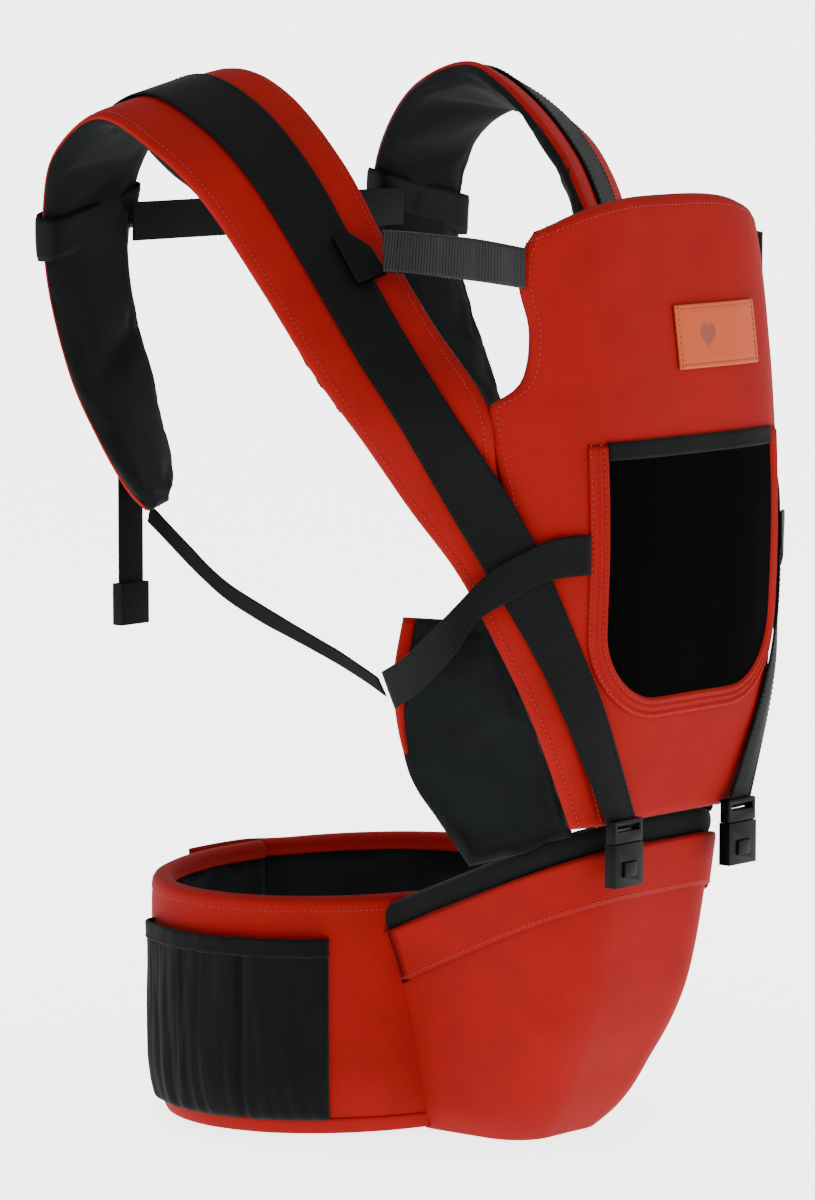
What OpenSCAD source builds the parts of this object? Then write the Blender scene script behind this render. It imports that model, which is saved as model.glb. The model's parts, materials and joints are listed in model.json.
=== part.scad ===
// Hip-seat baby carrier: a waist belt with a foam seat, and a back panel with shoulder straps.
// +Z is up and the panel faces -Y. The origin is the centre of the seat's flat underside.
// "right" and "left" are the wearer's: right is -X.

/* [Belt] */
// Half of the belt's outer width
belt_half_w = 152; // [148:1:156]
// Half of the belt's outer depth
belt_half_d = 120; // [116:1:124]
// Distance from the origin back to the belt's centre
belt_y = 152; // [150:1:160]
// Height of the belt
belt_h = 157; // [140:1:165]
// Thickness of the padded belt
belt_t = 14; // [12:1:18]

/* [Seat] */
// Height of the seat's front edge
seat_front_h = 214; // [210:1:215]
// Height of the seat's rear edge, where it meets the belt
seat_rear_h = 154; // [148:1:156]
// Half of the seat's width at the top
seat_half_w = 86; // [80:1:90]
// Half of the seat's width at the underside
seat_base_half_w = 45; // [40:1:50]
// Thickness of the black top pad
seat_pad_t = 16; // [12:1:17]
// Height of the flap band below the pad
flap_h = 35; // [20:1:40]

/* [Panel and straps] */
// Height of the panel's top edge at its middle
panel_top = 606; // [595:1:615]
// Height of the panel's lower edge
panel_bottom = 219; // [218:1:222]
// Thickness of the outer fabric and of each lining
fabric_t = 1.7; // [1:0.1:2]
// Thickness of the foam in the panel
panel_foam_t = 5; // [3:0.5:8]
// Thickness of the foam in a shoulder strap
strap_foam_t = 9; // [6:0.5:12]
// Thickness of the webbing
web_t = 1.6; // [1:0.1:2]
// Gap between layers that lie on each other
gap = 0.3; // [0.2:0.1:0.5]

/* [Buckles] */
// Distance of each seat buckle from the middle
buckle_x = 58; // [50:1:62]
// Width of a buckle
buckle_w = 28; // [27:1:34]
// Thickness of a buckle
buckle_t = 8.4; // [8:0.2:10]

/* [Hidden] */

red = "#a8221e";
black = "#1d1e1e";
plastic = "#101112";
foam = "#d8d6cf";
tan = "#d2763f";

// ---- Belt values: angles run round the belt, 270 is the seat side and 90 is the back ----
belt_steps = 48;
belt_lap = 11;
belt_start = 90 - belt_lap;
belt_end = 450 + belt_lap;
lap_rise = 6.8;
lap_zone = 3 * belt_lap;
belt_taper_h = 45;
belt_taper = 0.085;
belt_rows = [0, 12, 30, 60, 100, 140, 157] / 157;
stiffener_rows = [12, 30, 60, 100, 140] / 157;
fold_h = 13;
binding_t = 1.2;
stiffener_t = 1.4;
stiffener_room = 1.1;
belt_foam_t = belt_t - 2 * fabric_t - stiffener_t - stiffener_room - 3 * gap;
// Steps of the belt's grid where the stiffener starts and ends, and where the lining ends
stiffener_first = 17;
stiffener_last = 31;
lining_steps = 45;
lining_end = belt_angle(lining_steps);
foam_inset = 3;
foot_binding_span = [118, 250];
foot_binding_steps = 28;
foot_binding_z = [4, 12];
patch_span = [80, 100];
patch_steps = 6;
patch_inset = 20;
patch_t = 1.4;
patch_pile = 1.6;
// ---- Elastic pocket on the wearer's right: open at the top, closed by the belt behind it ----
pocket_a0 = 150;
pocket_a1 = 220;
pocket_low = 12;
pocket_high = 131;
pocket_room = 6.4;
pocket_t = 1.4;
pocket_steps = 20;
pocket_edge = 4;
pocket_side = 1.5;
pocket_hem_h = 12;

// ---- Seat values ----
seat_back_y = 66;
seat_rear_y = 43;
seat_front_y = -100;
// Outlines below the top, as [height, front edge, half width, corner radius]
seat_levels = [[100, -84, 75, 40], [42, -57, 63, 36], [16, -40, 56, 32]];
seat_foot_y = -24;
seat_foot_r = 26;
seat_rear_r = 6;
seat_top_y = 40;
seat_top_r = 50;
seat_skin = 1.2;
seat_tilt = atan((seat_front_h - seat_rear_h) / (seat_rear_y - seat_front_y));
plate = 0.5;
corner_steps = 32;
ring_steps = 96;

// ---- Panel outline: [height, half width] up one side ----
panel_side = [
  [panel_bottom, 61], [240, 75], [285, 92], [333, 112], [378, 127], [430, 134.5], [468, 138],
  [480, 137], [485, 131], [493, 125], [507, 121], [528, 119], [548, 121], [562, 121]
];
panel_top_half_w = 119;
panel_top_drop = 26;
panel_cols = 20;
panel_shoulder_z = 562;
panel_shoulder = [0.6, 1, 9];
panel_room = 0.8;
panel_seam = 1.2;
panel_foam_inset = 5;
panel_lining_inset = 4;

// ---- Right shoulder strap: pairs of [outer edge, inner edge] from the seat buckle,
// ---- up over the shoulder and down to the tip at the back ----
strap_ribs = [
  [[-90, -104, 215], [-62, -110.5, 214]],
  [[-118, -95, 283], [-92.5, -112.5, 285]],
  [[-134, -80, 328], [-112.5, -104, 333]],
  [[-148, -58, 375], [-127.5, -91, 378]],
  [[-162, -30, 415], [-135, -80, 430]],
  [[-173, -2, 455], [-138, -72, 481]],
  [[-182, 28, 497], [-118, -13, 529]],
  [[-190, 64, 550], [-106, 31, 572]],
  [[-204, 98, 602], [-108, 67, 625]],
  [[-212, 132, 633], [-108, 114, 668]],
  [[-211, 184, 655], [-113, 157, 683]],
  [[-208, 226, 632], [-115, 208, 663]],
  [[-206, 240, 597], [-120, 242, 617]],
  [[-203, 240, 545], [-124, 248, 565]],
  [[-202, 222, 487], [-122, 242, 515]],
  [[-199, 200, 446], [-121, 226, 462]],
  [[-190, 184, 415], [-127, 210, 423]],
  [[-172, 182, 399], [-148, 195, 402]]
];
strap_fine = 2;
strap_shares = [0, 0.5, 0.98];
strap_foam_shares = [0.03, 0.5, 0.94];
strap_inner = 2 * fabric_t + strap_foam_t + 3 * gap;
// ---- Load webbing of the right strap: [outer edge, middle, inner edge] on the panel,
// ---- then the same on the strap as shares of its width ----
web_low = [
  [[-72, -111.5, 224], [-58, -114.5, 224], [-44, -115.5, 224]],
  [[-105, -107, 287], [-92, -115.5, 287], [-79, -119.5, 288]],
  [[-121, -96, 327], [-112, -105.5, 332], [-100, -114, 335]],
  [[-139, -76, 374], [-128, -93, 378], [-117, -103, 381]],
  [[-151, -54, 415], [-142, -70, 420], [-133, -88, 424]]
];
web_from = 5;
web_shares = [0.33, 0.54, 0.75];
web_end_rib = 16;
web_out = gap + 0.4;
lock_ribs = [6.66, 7.02, 7.24];
lock_shares = [[0.6, 0.72, 0.84], [0.6, 0.71, 0.82], [0.6, 0.66, 0.72]];
lock_low = 3.6;
lock_high = 7.4;
tip_lock = [18, 4, 9];
tip_lock_at = [-158, 211.2, 429.5];
tail_x = -157;
tail_y = 208;
tail_top = 424.5;
tail_w = 22;
tail_tab = [26, 8, 27];
tail_tab_z = 339;
tail_shorter = 45;

// ---- Mesh window on the panel ----
window_half_w = 82;
window_low = 294;
window_high = 455;
window_r = 46;
frame_w = 12;
hem_h = 10;
mesh_inset = 0.6;
mesh_t = 1.2;
frame_t = 1.8;
window_cols = 10;
mesh_rows = [0.4, 2, 6, 12, 20, 30, 46, 80, 110, 135];
frame_rows = [420, 380];
frame_turn = 15;
// ---- Label ----
label_x = 27;
label_z = 517;
label_w = 84;
label_h = 40;
label_t = 1.4;

// ---- Right wing: rows of [front edge, middle, rear edge] from the top down ----
wing_ribs = [
  [[-121, -62, 347], [-117, -34, 343], [-131, -8, 344]],
  [[-107, -76, 302], [-112, -42, 300], [-138, -6, 300]],
  [[-89, -86, 256], [-104, -50, 252], [-133, -8, 246]],
  [[-72, -86, 211], [-87, -64, 202], [-112, -39, 194]]
];
wing_t = 8;
wing_fine = 3;
bind_w = 7;
bind_over = 1;
bind_rows = 5;

// ---- Webbing runs of the right side: pairs of [upper edge, lower edge] ----
run_fine = 3;
cross_run = [
  [[-96, -121, 401], [-96, -121, 376]],
  [[-116, -108, 399], [-118, -106, 373]],
  [[-131, -96, 391], [-135, -92, 362]],
  [[-145, -80, 378], [-150, -76, 349]],
  [[-157, -58, 352], [-158, -66, 329]],
  [[-155, -25, 325], [-156, -38, 304]],
  [[-149, 2, 311], [-150, -10, 289]]
];
tail_run = [
  [[-149, 4, 307], [-146, -1, 295]],
  [[-151, 28, 319], [-148, 26, 308]],
  [[-153, 60, 332], [-152, 58, 321]],
  [[-155, 95, 346], [-154, 95, 334]],
  [[-157, 128, 361], [-157, 126, 348]],
  [[-159, 154, 380], [-160, 152, 366]],
  [[-159, 178, 397], [-163, 177, 386]]
];
side_run = [
  [[-122.5, -87, 576], [-122.5, -87, 551]],
  [[-121, -56, 580], [-122, -56, 554]],
  [[-121, -20, 582], [-123, -20, 556]],
  [[-121, 12, 583], [-125, 8, 557]],
  [[-122, 22, 583], [-126, 17, 557]]
];

// ---- Side-release buckles (belt and back strap) ----
sr_len = 32;
sr_w = 34;
sr_t = 10;
sr_room = 26;
sr_open = 20;
sr_cavity_w = 27;
sr_cavity_t = 6;
sr_bar = 1.6;
sr_bar_slot = 2.6;
sr_base = 18;
sr_base_t = 9;
sr_shoulder = 0.8;
sr_male_slots = [5, 11];
sr_male_slot = 3;
sr_tongue = [22, 6];
sr_inner_t = 3.4;
// Outline of a prong from its root to its nose, as [along, up from the buckle's middle]
sr_prong_outline = [[-20, 6.4], [0.2, 6.4], [0.2, 9.8], [-4, 10.2], [-6, 16.6], [-12, 16.6], [-20, 10]];
// ---- Back strap ----
back_y = 226;
back_z = 582;
back_web_w = 25;
back_reach = 134;
back_slack = 132;
band_ribs = [12.19, 12.5, 12.74];
band_side = 2.2;
band_room = 0.9;
// ---- Belt buckle: it slides round the belt on a circle that follows the belt's back ----
wrap_r = 200;
wrap_gap = 12;
wrap_y = belt_y + belt_half_d + wrap_gap - wrap_r;
belt_buckle_z = 80;
wrap_steps = 240;
anchor_span = [101.9, 128];
anchor_steps = 6;
anchor_end = 2;
anchor_bend = 0.7;
adjust_span = [58, 84.6];
// ---- Seat buckles ----
sb_y = -118;
sb_low = 178;
sb_split = 205;
sb_high = 220;
sb_cavity = [22, 5.2, 22];
sb_floor = 5;
sb_leg = [4.4, 20];
sb_leg_mid = 9;
sb_bar = 3;
web_slot_h = 4;
button_room = 0.6;
button_w = 12;
button_h = 9.2;
button_z = 184.4;
button_out = 1.6;
button_t = 3.6;
web_slot = 22;
tab_size = [20, 2.4, 20];
tab_y = -112.2;
tab_z = 190;
leg_gap = 13.4;
leg_span = 21.2;

// ---- Functions ----
function lerp(a, b, t) = a + (b - a) * t;
function unit(v) = v / max(norm(v), 0.0001);
function flat(rows) = [for (row = rows) for (p = row) p];
// Point on a smooth curve through p1 and p2
function curve_point(p0, p1, p2, p3, t) =
  0.5 * (2 * p1 + (p2 - p0) * t + (2 * p0 - 5 * p1 + 4 * p2 - p3) * t * t
         + (3 * p1 - p0 - 3 * p2 + p3) * t * t * t);
function smooth(line, n) = [
  for (i = [0 : len(line) - 2]) for (k = [0 : n - 1])
    curve_point(line[max(i - 1, 0)], line[i], line[i + 1], line[min(i + 2, len(line) - 1)], k / n),
  line[len(line) - 1]
];
function column(ribs, j) = [for (rib = ribs) rib[j]];
// Refines ribs along their length, keeping the number of points across
function fine(ribs, n) =
  let (sides = [for (j = [0 : len(ribs[0]) - 1]) smooth(column(ribs, j), n)])
    [for (i = [0 : len(sides[0]) - 1]) [for (side = sides) side[i]]];
// The strap's two edges at a place between its ribs
function strap_rib(at) =
  let (i = floor(at * strap_fine), t = at * strap_fine - i)
    [for (j = [0, 1]) lerp(strap_grid[i][j], strap_grid[i + 1][j], t)];
function across(ribs, shares) = [for (rib = ribs) [for (s = shares) lerp(rib[0], rib[1], s)]];
function normal_at(g, i, j) =
  let (rows = len(g) - 1, cols = len(g[0]) - 1)
    unit(cross(g[min(i + 1, rows)][j] - g[max(i - 1, 0)][j],
               g[i][min(j + 1, cols)] - g[i][max(j - 1, 0)]));
function moved(g, d) =
  [for (i = [0 : len(g) - 1]) [for (j = [0 : len(g[0]) - 1]) g[i][j] + d * normal_at(g, i, j)]];
// How far forward the panel's face stands at a height, and at a point across it
function panel_face(z) =
  z > 400 ? -130 + 22 * pow((z - 400) / 200, 2) : -130 + 20 * pow((400 - z) / 200, 2);
function panel_point(x, z) = [x, panel_face(z) + 15 * pow(x / 100, 4), z];
function panel_edge(x) = panel_top - panel_top_drop * pow(abs(x) / panel_top_half_w, 3);
function belt_size(z) = 1 - belt_taper * pow(max(0, (belt_taper_h - z) / belt_taper_h), 2);
// The outer lap stands clear of the inner one by lap_rise, and blends into the belt
function lap_lift(a) =
  a < belt_end - lap_zone ? 0 : lap_rise * (1 - cos(180 * min(1, (a - belt_end + lap_zone) / belt_lap))) / 2;
function belt_point(a, z, d) =
  [(belt_half_w * belt_size(z) - d + lap_lift(a)) * cos(a),
   belt_y + (belt_half_d * belt_size(z) - d + lap_lift(a)) * sin(a), z];
function belt_angle(k) = lerp(belt_start, belt_end, k / belt_steps);
function belt_grid(a0, a1, steps, z0, z1, d, rows = belt_rows) = [
  for (k = [0 : steps]) [
    for (row = rows) belt_point(lerp(a0, a1, k / steps), lerp(z0, z1, row), d)
  ]
];
function panel_grid(inset) =
  concat(
    [for (s = panel_side)
      [for (c = [0 : panel_cols]) panel_point((s[1] - inset) * (2 * c / panel_cols - 1), s[0])]],
    [[for (c = [0 : panel_cols])
      let (x = (panel_top_half_w - panel_shoulder[1] - inset) * (2 * c / panel_cols - 1))
        panel_point(x, lerp(panel_shoulder_z, panel_edge(x), panel_shoulder[0]))],
     [for (c = [0 : panel_cols])
      let (x = (panel_top_half_w - panel_shoulder[2] - inset) * (2 * c / panel_cols - 1))
        panel_point(x, panel_edge(x) - inset)]]
  );

// ---- Building blocks ----
// A closed sheet between two offsets of a grid of points
module slab(g, d0, d1) {
  rows = len(g);
  cols = len(g[0]);
  n = rows * cols;
  function at(i, j) = i * cols + j;
  skins = [
    for (i = [0 : rows - 2]) for (j = [0 : cols - 2]) each [
      [n + at(i, j), n + at(i, j + 1), n + at(i + 1, j + 1)],
      [n + at(i, j), n + at(i + 1, j + 1), n + at(i + 1, j)],
      [at(i, j), at(i + 1, j + 1), at(i, j + 1)],
      [at(i, j), at(i + 1, j), at(i + 1, j + 1)]
    ]
  ];
  sides = [
    for (i = [0 : rows - 2]) each [
      [n + at(i, 0), n + at(i + 1, 0), at(i + 1, 0)],
      [n + at(i, 0), at(i + 1, 0), at(i, 0)],
      [n + at(i + 1, cols - 1), n + at(i, cols - 1), at(i, cols - 1)],
      [n + at(i + 1, cols - 1), at(i, cols - 1), at(i + 1, cols - 1)]
    ]
  ];
  ends = [
    for (j = [0 : cols - 2]) each [
      [n + at(0, j + 1), n + at(0, j), at(0, j)],
      [n + at(0, j + 1), at(0, j), at(0, j + 1)],
      [n + at(rows - 1, j), n + at(rows - 1, j + 1), at(rows - 1, j + 1)],
      [n + at(rows - 1, j), at(rows - 1, j + 1), at(rows - 1, j)]
    ]
  ];
  polyhedron(points = concat(flat(moved(g, d0)), flat(moved(g, d1))),
             faces = concat(skins, sides, ends));
}
// A band open at both ends, between an outer and an inner row of loops
module tube(outer, inner) {
  rows = len(outer);
  sides = len(outer[0]);
  n = rows * sides;
  function at(i, j) = i * sides + j % sides;
  walls = [
    for (i = [0 : rows - 2]) for (j = [0 : sides - 1]) each [
      [at(i, j), at(i + 1, j), at(i + 1, j + 1)],
      [at(i, j), at(i + 1, j + 1), at(i, j + 1)],
      [n + at(i, j), n + at(i + 1, j + 1), n + at(i + 1, j)],
      [n + at(i, j), n + at(i, j + 1), n + at(i + 1, j + 1)]
    ]
  ];
  ends = [
    for (j = [0 : sides - 1]) each [
      [at(0, j), at(0, j + 1), n + at(0, j + 1)],
      [at(0, j), n + at(0, j + 1), n + at(0, j)],
      [at(rows - 1, j), n + at(rows - 1, j + 1), at(rows - 1, j + 1)],
      [at(rows - 1, j), n + at(rows - 1, j), n + at(rows - 1, j + 1)]
    ]
  ];
  polyhedron(points = concat(flat(outer), flat(inner)), faces = concat(walls, ends));
}
module mirrored() {
  mirror([1, 0, 0]) children();
}
module both_sides() {
  children();
  mirrored() children();
}
module centred_box(size, at) {
  translate(at) cube(size, center = true);
}

// ---- Belt ----
module belt_layer(a0, a1, steps, z0, z1, depth, t) {
  slab(belt_grid(a0, a1, steps, z0, z1, depth + t), 0, t);
}
module belt_cover() {
  color(red) belt_layer(belt_start, belt_end, belt_steps, 0, belt_h, 0, fabric_t);
}
module belt_stiffener() {
  depth = fabric_t + gap + stiffener_t;
  steps = stiffener_last - stiffener_first;
  color(plastic) slab(belt_grid(belt_angle(stiffener_first), belt_angle(stiffener_last), steps,
                                0, belt_h, depth, stiffener_rows), 0, stiffener_t);
}
module belt_foam() {
  depth = fabric_t + gap + stiffener_t + stiffener_room;
  color(foam)
    belt_layer(belt_start, lining_end, lining_steps, foam_inset, belt_h - foam_inset, depth, belt_foam_t);
}
module belt_lining() {
  depth = belt_t - fabric_t;
  color(black) belt_layer(belt_start, lining_end, lining_steps, 0, belt_h - fold_h, depth, fabric_t);
}
module belt_top_binding() {
  depth = belt_t - fabric_t;
  color(red)
    belt_layer(belt_start, lining_end, lining_steps, belt_h - fold_h + gap, belt_h, depth, fabric_t);
}
module belt_bottom_binding() {
  color(red) belt_layer(foot_binding_span[0], foot_binding_span[1], foot_binding_steps,
    foot_binding_z[0], foot_binding_z[1], -binding_t - gap, binding_t);
}
module pocket_panel() {
  color(black) {
    belt_layer(
      pocket_a0, pocket_a1, pocket_steps, pocket_low, pocket_high, -pocket_room - pocket_t, pocket_t
    );
    for (a = [pocket_a0, pocket_a1 - pocket_side])
      belt_layer(a, a + pocket_side, 1, pocket_low, pocket_high, -pocket_room, pocket_room - gap);
    belt_layer(pocket_a0 + pocket_side, pocket_a1 - pocket_side, pocket_steps,
               pocket_low, pocket_low + pocket_edge, -pocket_room, pocket_room - gap);
  }
}
module pocket_hem() {
  color(black)
    belt_layer(pocket_a0, pocket_a1, pocket_steps, pocket_high - pocket_hem_h, pocket_high,
               -pocket_room - pocket_t - gap - web_t, web_t);
}
module loop_patch() {
  color(black) belt_layer(patch_span[0], patch_span[1], patch_steps, patch_inset, belt_h - patch_inset,
    -gap - patch_t, patch_t);
}
module hook_patch() {
  color(black) belt_layer(patch_span[0], patch_span[1], patch_steps, patch_inset, belt_h - patch_inset,
    -2 * gap - patch_t - patch_pile, patch_t);
}

// ---- Side-release buckle: it opens along +X, its width lies along Z ----
module sr_female() {
  difference() {
    translate([-sr_len, -sr_t / 2, -sr_w / 2]) cube([sr_len, sr_t, sr_w]);
    translate([-sr_room, -sr_cavity_t / 2, -sr_cavity_w / 2]) cube([sr_room + 1, sr_cavity_t, sr_cavity_w]);
    translate([-sr_open, -sr_cavity_t / 2, -sr_w]) cube([sr_open + 1, sr_cavity_t, 2 * sr_w]);
    translate([-sr_len + sr_bar, -sr_t, -sr_cavity_w / 2]) cube([sr_bar_slot, 2 * sr_t, sr_cavity_w]);
  }
}
module sr_male() {
  difference() {
    translate([sr_shoulder, -sr_base_t / 2, -sr_w / 2 + 1]) cube([sr_base - sr_shoulder, sr_base_t, sr_w - 2]);
    for (x = sr_male_slots)
      translate([x, -sr_t, -sr_cavity_w / 2]) cube([sr_male_slot, 2 * sr_t, sr_cavity_w]);
  }
  translate([-sr_tongue[0], -sr_inner_t / 2, -sr_tongue[1] / 2])
    cube([sr_tongue[0] + 1, sr_inner_t, sr_tongue[1]]);
}
// Upper prong; it squeezes towards the tongue about its root
module sr_prong() {
  translate([0, sr_inner_t / 2, 0]) rotate([90, 0, 0]) linear_extrude(sr_inner_t) polygon(sr_prong_outline);
}
module at_belt_buckle() {
  translate([0, wrap_y + wrap_r, belt_buckle_z]) children();
}
module at_back_buckle() {
  translate([0, back_y, back_z]) children();
}
module wrap_web(a0, a1) {
  translate([0, wrap_y, belt_buckle_z - back_web_w / 2]) rotate([0, 0, a0])
    rotate_extrude(angle = a1 - a0, $fn = wrap_steps)
      translate([wrap_r - web_t / 2, 0]) square([web_t, back_web_w]);
}
module belt_anchor_webbing() {
  reach = [for (k = [0 : anchor_steps])
    let (t = k / anchor_steps, a = lerp(anchor_span[0], anchor_span[1], t),
         d = lerp(wrap_gap, anchor_end, pow(t, anchor_bend)))
    [belt_point(a, belt_buckle_z - back_web_w / 2, -d), belt_point(a, belt_buckle_z + back_web_w / 2, -d)]];
  color(black) slab(reach, 0, web_t);
}
module belt_adjust_webbing() {
  color(black) wrap_web(adjust_span[0], adjust_span[1]);
}
module belt_buckle_female() {
  color(plastic) at_belt_buckle() sr_female();
}
module belt_buckle_male() {
  color(plastic) at_belt_buckle() sr_male();
}
module belt_prong_upper() {
  color(plastic) at_belt_buckle() sr_prong();
}
module belt_prong_lower() {
  color(plastic) at_belt_buckle() mirror([0, 0, 1]) sr_prong();
}

// ---- Seat ----
module seat_plan(front_y, half_front, rear_y, half_rear, r, grow) {
  hull() {
    for (side = [-1, 1]) {
      translate([side * (half_front - r), front_y + r]) circle(r + grow, $fn = corner_steps);
      translate([side * (half_rear - seat_rear_r), rear_y - seat_rear_r])
        circle(seat_rear_r + grow, $fn = corner_steps);
    }
  }
}
// The seat's top plane: x across, y back, z up from the pad's top at its rear edge
module on_seat_top() {
  translate([0, seat_rear_y, seat_rear_h]) rotate([-seat_tilt, 0, 0]) children();
}
module seat_top_plan(grow) {
  run = (seat_front_y - seat_rear_y) / cos(seat_tilt);
  seat_plan(run, seat_half_w, seat_top_y, seat_half_w - 1, seat_top_r, grow);
}
module seat_block(grow, foot_z, lift) {
  hull() {
    on_seat_top() translate([0, 0, -seat_pad_t - plate + lift]) linear_extrude(plate) seat_top_plan(grow);
    for (level = seat_levels) translate([0, 0, level[0]]) linear_extrude(plate)
      seat_plan(level[1], level[2], seat_back_y, level[2], level[3], grow);
    translate([0, 0, foot_z]) linear_extrude(plate)
      seat_plan(seat_foot_y, seat_base_half_w, seat_back_y, seat_base_half_w, seat_foot_r, grow);
  }
}
// Opens a hollow block at the plane below the pad
module seat_mouth(grow) {
  on_seat_top() translate([0, 0, -seat_pad_t - gap - plate]) linear_extrude(4 * plate) seat_top_plan(grow);
}
module belt_core() {
  clear = 2 * gap;
  ring = [for (k = [0 : ring_steps - 1]) let (a = 360 * k / ring_steps)
    [(belt_half_w + clear) * cos(a), belt_y + (belt_half_d + clear) * sin(a)]];
  translate([0, 0, -1]) linear_extrude(seat_front_h * 2) polygon(ring);
}
module seat_core() {
  color(foam) difference() {
    seat_block(0, 2 * seat_skin, -gap);
    belt_core();
  }
}
module seat_cover() {
  color(red) difference() {
    seat_block(gap + seat_skin, 0, -gap);
    seat_block(gap, seat_skin + gap, -gap);
    seat_mouth(gap);
    belt_core();
  }
}
module seat_top_pad() {
  color(black) difference() {
    on_seat_top() translate([0, 0, -seat_pad_t]) linear_extrude(seat_pad_t) seat_top_plan(gap);
    belt_core();
  }
}
module seat_flap() {
  span = 400;
  color(red) difference() {
    intersection() {
      seat_block(2 * gap + 2 * seat_skin, 0, -gap);
      on_seat_top() centred_box([span, span, flap_h], [0, 0, -seat_pad_t - gap - flap_h / 2]);
    }
    seat_block(2 * gap + seat_skin, -1, -gap);
    seat_mouth(2 * gap + seat_skin);
    belt_core();
  }
}

// ---- Seat buckles: the male half drops into the female half from above ----
module seat_buckle_tabs() {
  color(black) both_sides() centred_box(tab_size, [buckle_x, tab_y, tab_z]);
}
module seat_buckle_female_left() {
  color(plastic) difference() {
    centred_box([buckle_w, buckle_t, sb_split - sb_low], [buckle_x, sb_y, (sb_low + sb_split) / 2]);
    centred_box(sb_cavity, [buckle_x, sb_y, sb_low + sb_floor + sb_cavity[2] / 2 + 1]);
    centred_box([button_w + button_room, buckle_t, button_h + button_room],
                [buckle_x, sb_y - buckle_t / 2, button_z + button_h / 2]);
  }
}
module seat_buckle_female_right() {
  mirrored() seat_buckle_female_left();
}
module release_button_left() {
  color(plastic)
    centred_box([button_w, button_t, button_h],
                [buckle_x, sb_y - buckle_t / 2 - button_out + button_t / 2, button_z + button_h / 2]);
}
module release_button_right() {
  mirrored() release_button_left();
}
module seat_buckle_male_left() {
  leg_w = (leg_span - leg_gap) / 2;
  base_h = sb_high - sb_split - gap;
  color(plastic) {
    difference() {
      centred_box([buckle_w, buckle_t - 1, base_h], [buckle_x, sb_y, sb_high - base_h / 2]);
      centred_box([web_slot, 2 * buckle_t, web_slot_h],
                  [buckle_x, sb_y, sb_high - sb_bar - web_slot_h / 2]);
    }
    for (side = [-1, 1])
      centred_box([leg_w, sb_leg[0], sb_leg[1]],
                  [buckle_x + side * (leg_span - leg_w) / 2, sb_y, sb_split - sb_leg_mid]);
  }
}
module seat_buckle_male_right() {
  mirrored() seat_buckle_male_left();
}

// ---- Panel ----
module panel_outer() {
  color(red) slab(panel_grid(panel_seam), 0, fabric_t);
}
module panel_foam() {
  depth = fabric_t + panel_room;
  color(foam) slab(panel_grid(panel_foam_inset), depth, depth + panel_foam_t);
}
module panel_lining() {
  depth = fabric_t + panel_foam_t + 2 * panel_room;
  color(black) slab(panel_grid(panel_lining_inset), depth, depth + fabric_t);
}
function window_half(z) =
  z >= window_low + window_r ? window_half_w
    : window_half_w - window_r + sqrt(max(0, pow(window_r, 2) - pow(window_low + window_r - z, 2)));
module window_mesh() {
  rows = concat(mesh_rows, [window_high - window_low - hem_h - 1]);
  color(black) slab([for (h = rows) [for (c = [0 : window_cols])
    panel_point((window_half(window_low + h) - mesh_inset) * (2 * c / window_cols - 1), window_low + h)]],
    -mesh_t - gap, -gap);
}
// The window's sides and foot, moved outwards by off
function u_path(off) =
  let (x = window_half_w - window_r, z = window_low + window_r)
    concat(
      [for (h = concat([window_high], frame_rows)) [-window_half_w - off, h]],
      [for (a = [180 : frame_turn : 270]) [-x + (window_r + off) * cos(a), z + (window_r + off) * sin(a)]],
      [[0, window_low - off]],
      [for (a = [270 : frame_turn : 360]) [x + (window_r + off) * cos(a), z + (window_r + off) * sin(a)]],
      [for (h = [frame_rows[1], frame_rows[0], window_high]) [window_half_w + off, h]]
    );
module window_frame() {
  inner = u_path(0);
  outer = u_path(frame_w);
  color(red) slab([for (i = [0 : len(inner) - 1])
    [panel_point(inner[i][0], inner[i][1]), panel_point(outer[i][0], outer[i][1])]], -frame_t - gap, -gap);
}
module window_hem() {
  color(black) slab([for (z = [window_high - hem_h, window_high]) [for (c = [0 : window_cols])
    panel_point((window_half_w - mesh_inset) * (2 * c / window_cols - 1), z)]], -frame_t - gap, -gap);
}
module label_patch() {
  color(tan) slab([for (z = [-0.5, 0, 0.5]) [for (x = [-0.5 : 0.25 : 0.5])
    panel_point(label_x + x * label_w, label_z + z * label_h)]], -label_t - gap, -gap);
}

// ---- Wings ----
module wing_right() {
  color(black) slab(fine(wing_ribs, wing_fine), 0, wing_t);
}
module wing_left() {
  mirrored() wing_right();
}
module wing_bindings() {
  ribs = fine(wing_ribs, wing_fine);
  strip = [for (i = [0 : bind_rows]) let (rib = ribs[i], out = unit(rib[2] - rib[1]))
    [rib[2] + 2 * gap * out, rib[2] + bind_w * out]];
  color(red) both_sides() slab(strip, -bind_over, wing_t + bind_over);
}

// ---- Shoulder straps ----
strap_grid = fine(strap_ribs, strap_fine);
module strap_layer(shares, d0, d1) {
  slab(across(strap_grid, shares), d0, d1);
}
module strap_cover_right() {
  color(red) strap_layer(strap_shares, 0, fabric_t);
}
module strap_cover_left() {
  mirrored() strap_cover_right();
}
module strap_foam_right() {
  depth = fabric_t + 1.5 * gap;
  color(foam) strap_layer(strap_foam_shares, depth, depth + strap_foam_t);
}
module strap_foam_left() {
  mirrored() strap_foam_right();
}
module strap_lining_right() {
  color(black) strap_layer(strap_shares, strap_inner - fabric_t, strap_inner);
}
module strap_lining_left() {
  mirrored() strap_lining_right();
}
module strap_webbing_right() {
  high = [
    for (i = [web_from : web_end_rib])
      [for (s = web_shares) lerp(strap_ribs[i][0], strap_ribs[i][1], s)]
  ];
  color(black) slab(fine(concat(web_low, high), strap_fine), -web_out - web_t, -web_out);
}
module strap_webbing_left() {
  mirrored() strap_webbing_right();
}
module side_elastics() {
  color(black) both_sides() slab(fine(side_run, run_fine), 0, web_t);
}
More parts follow.
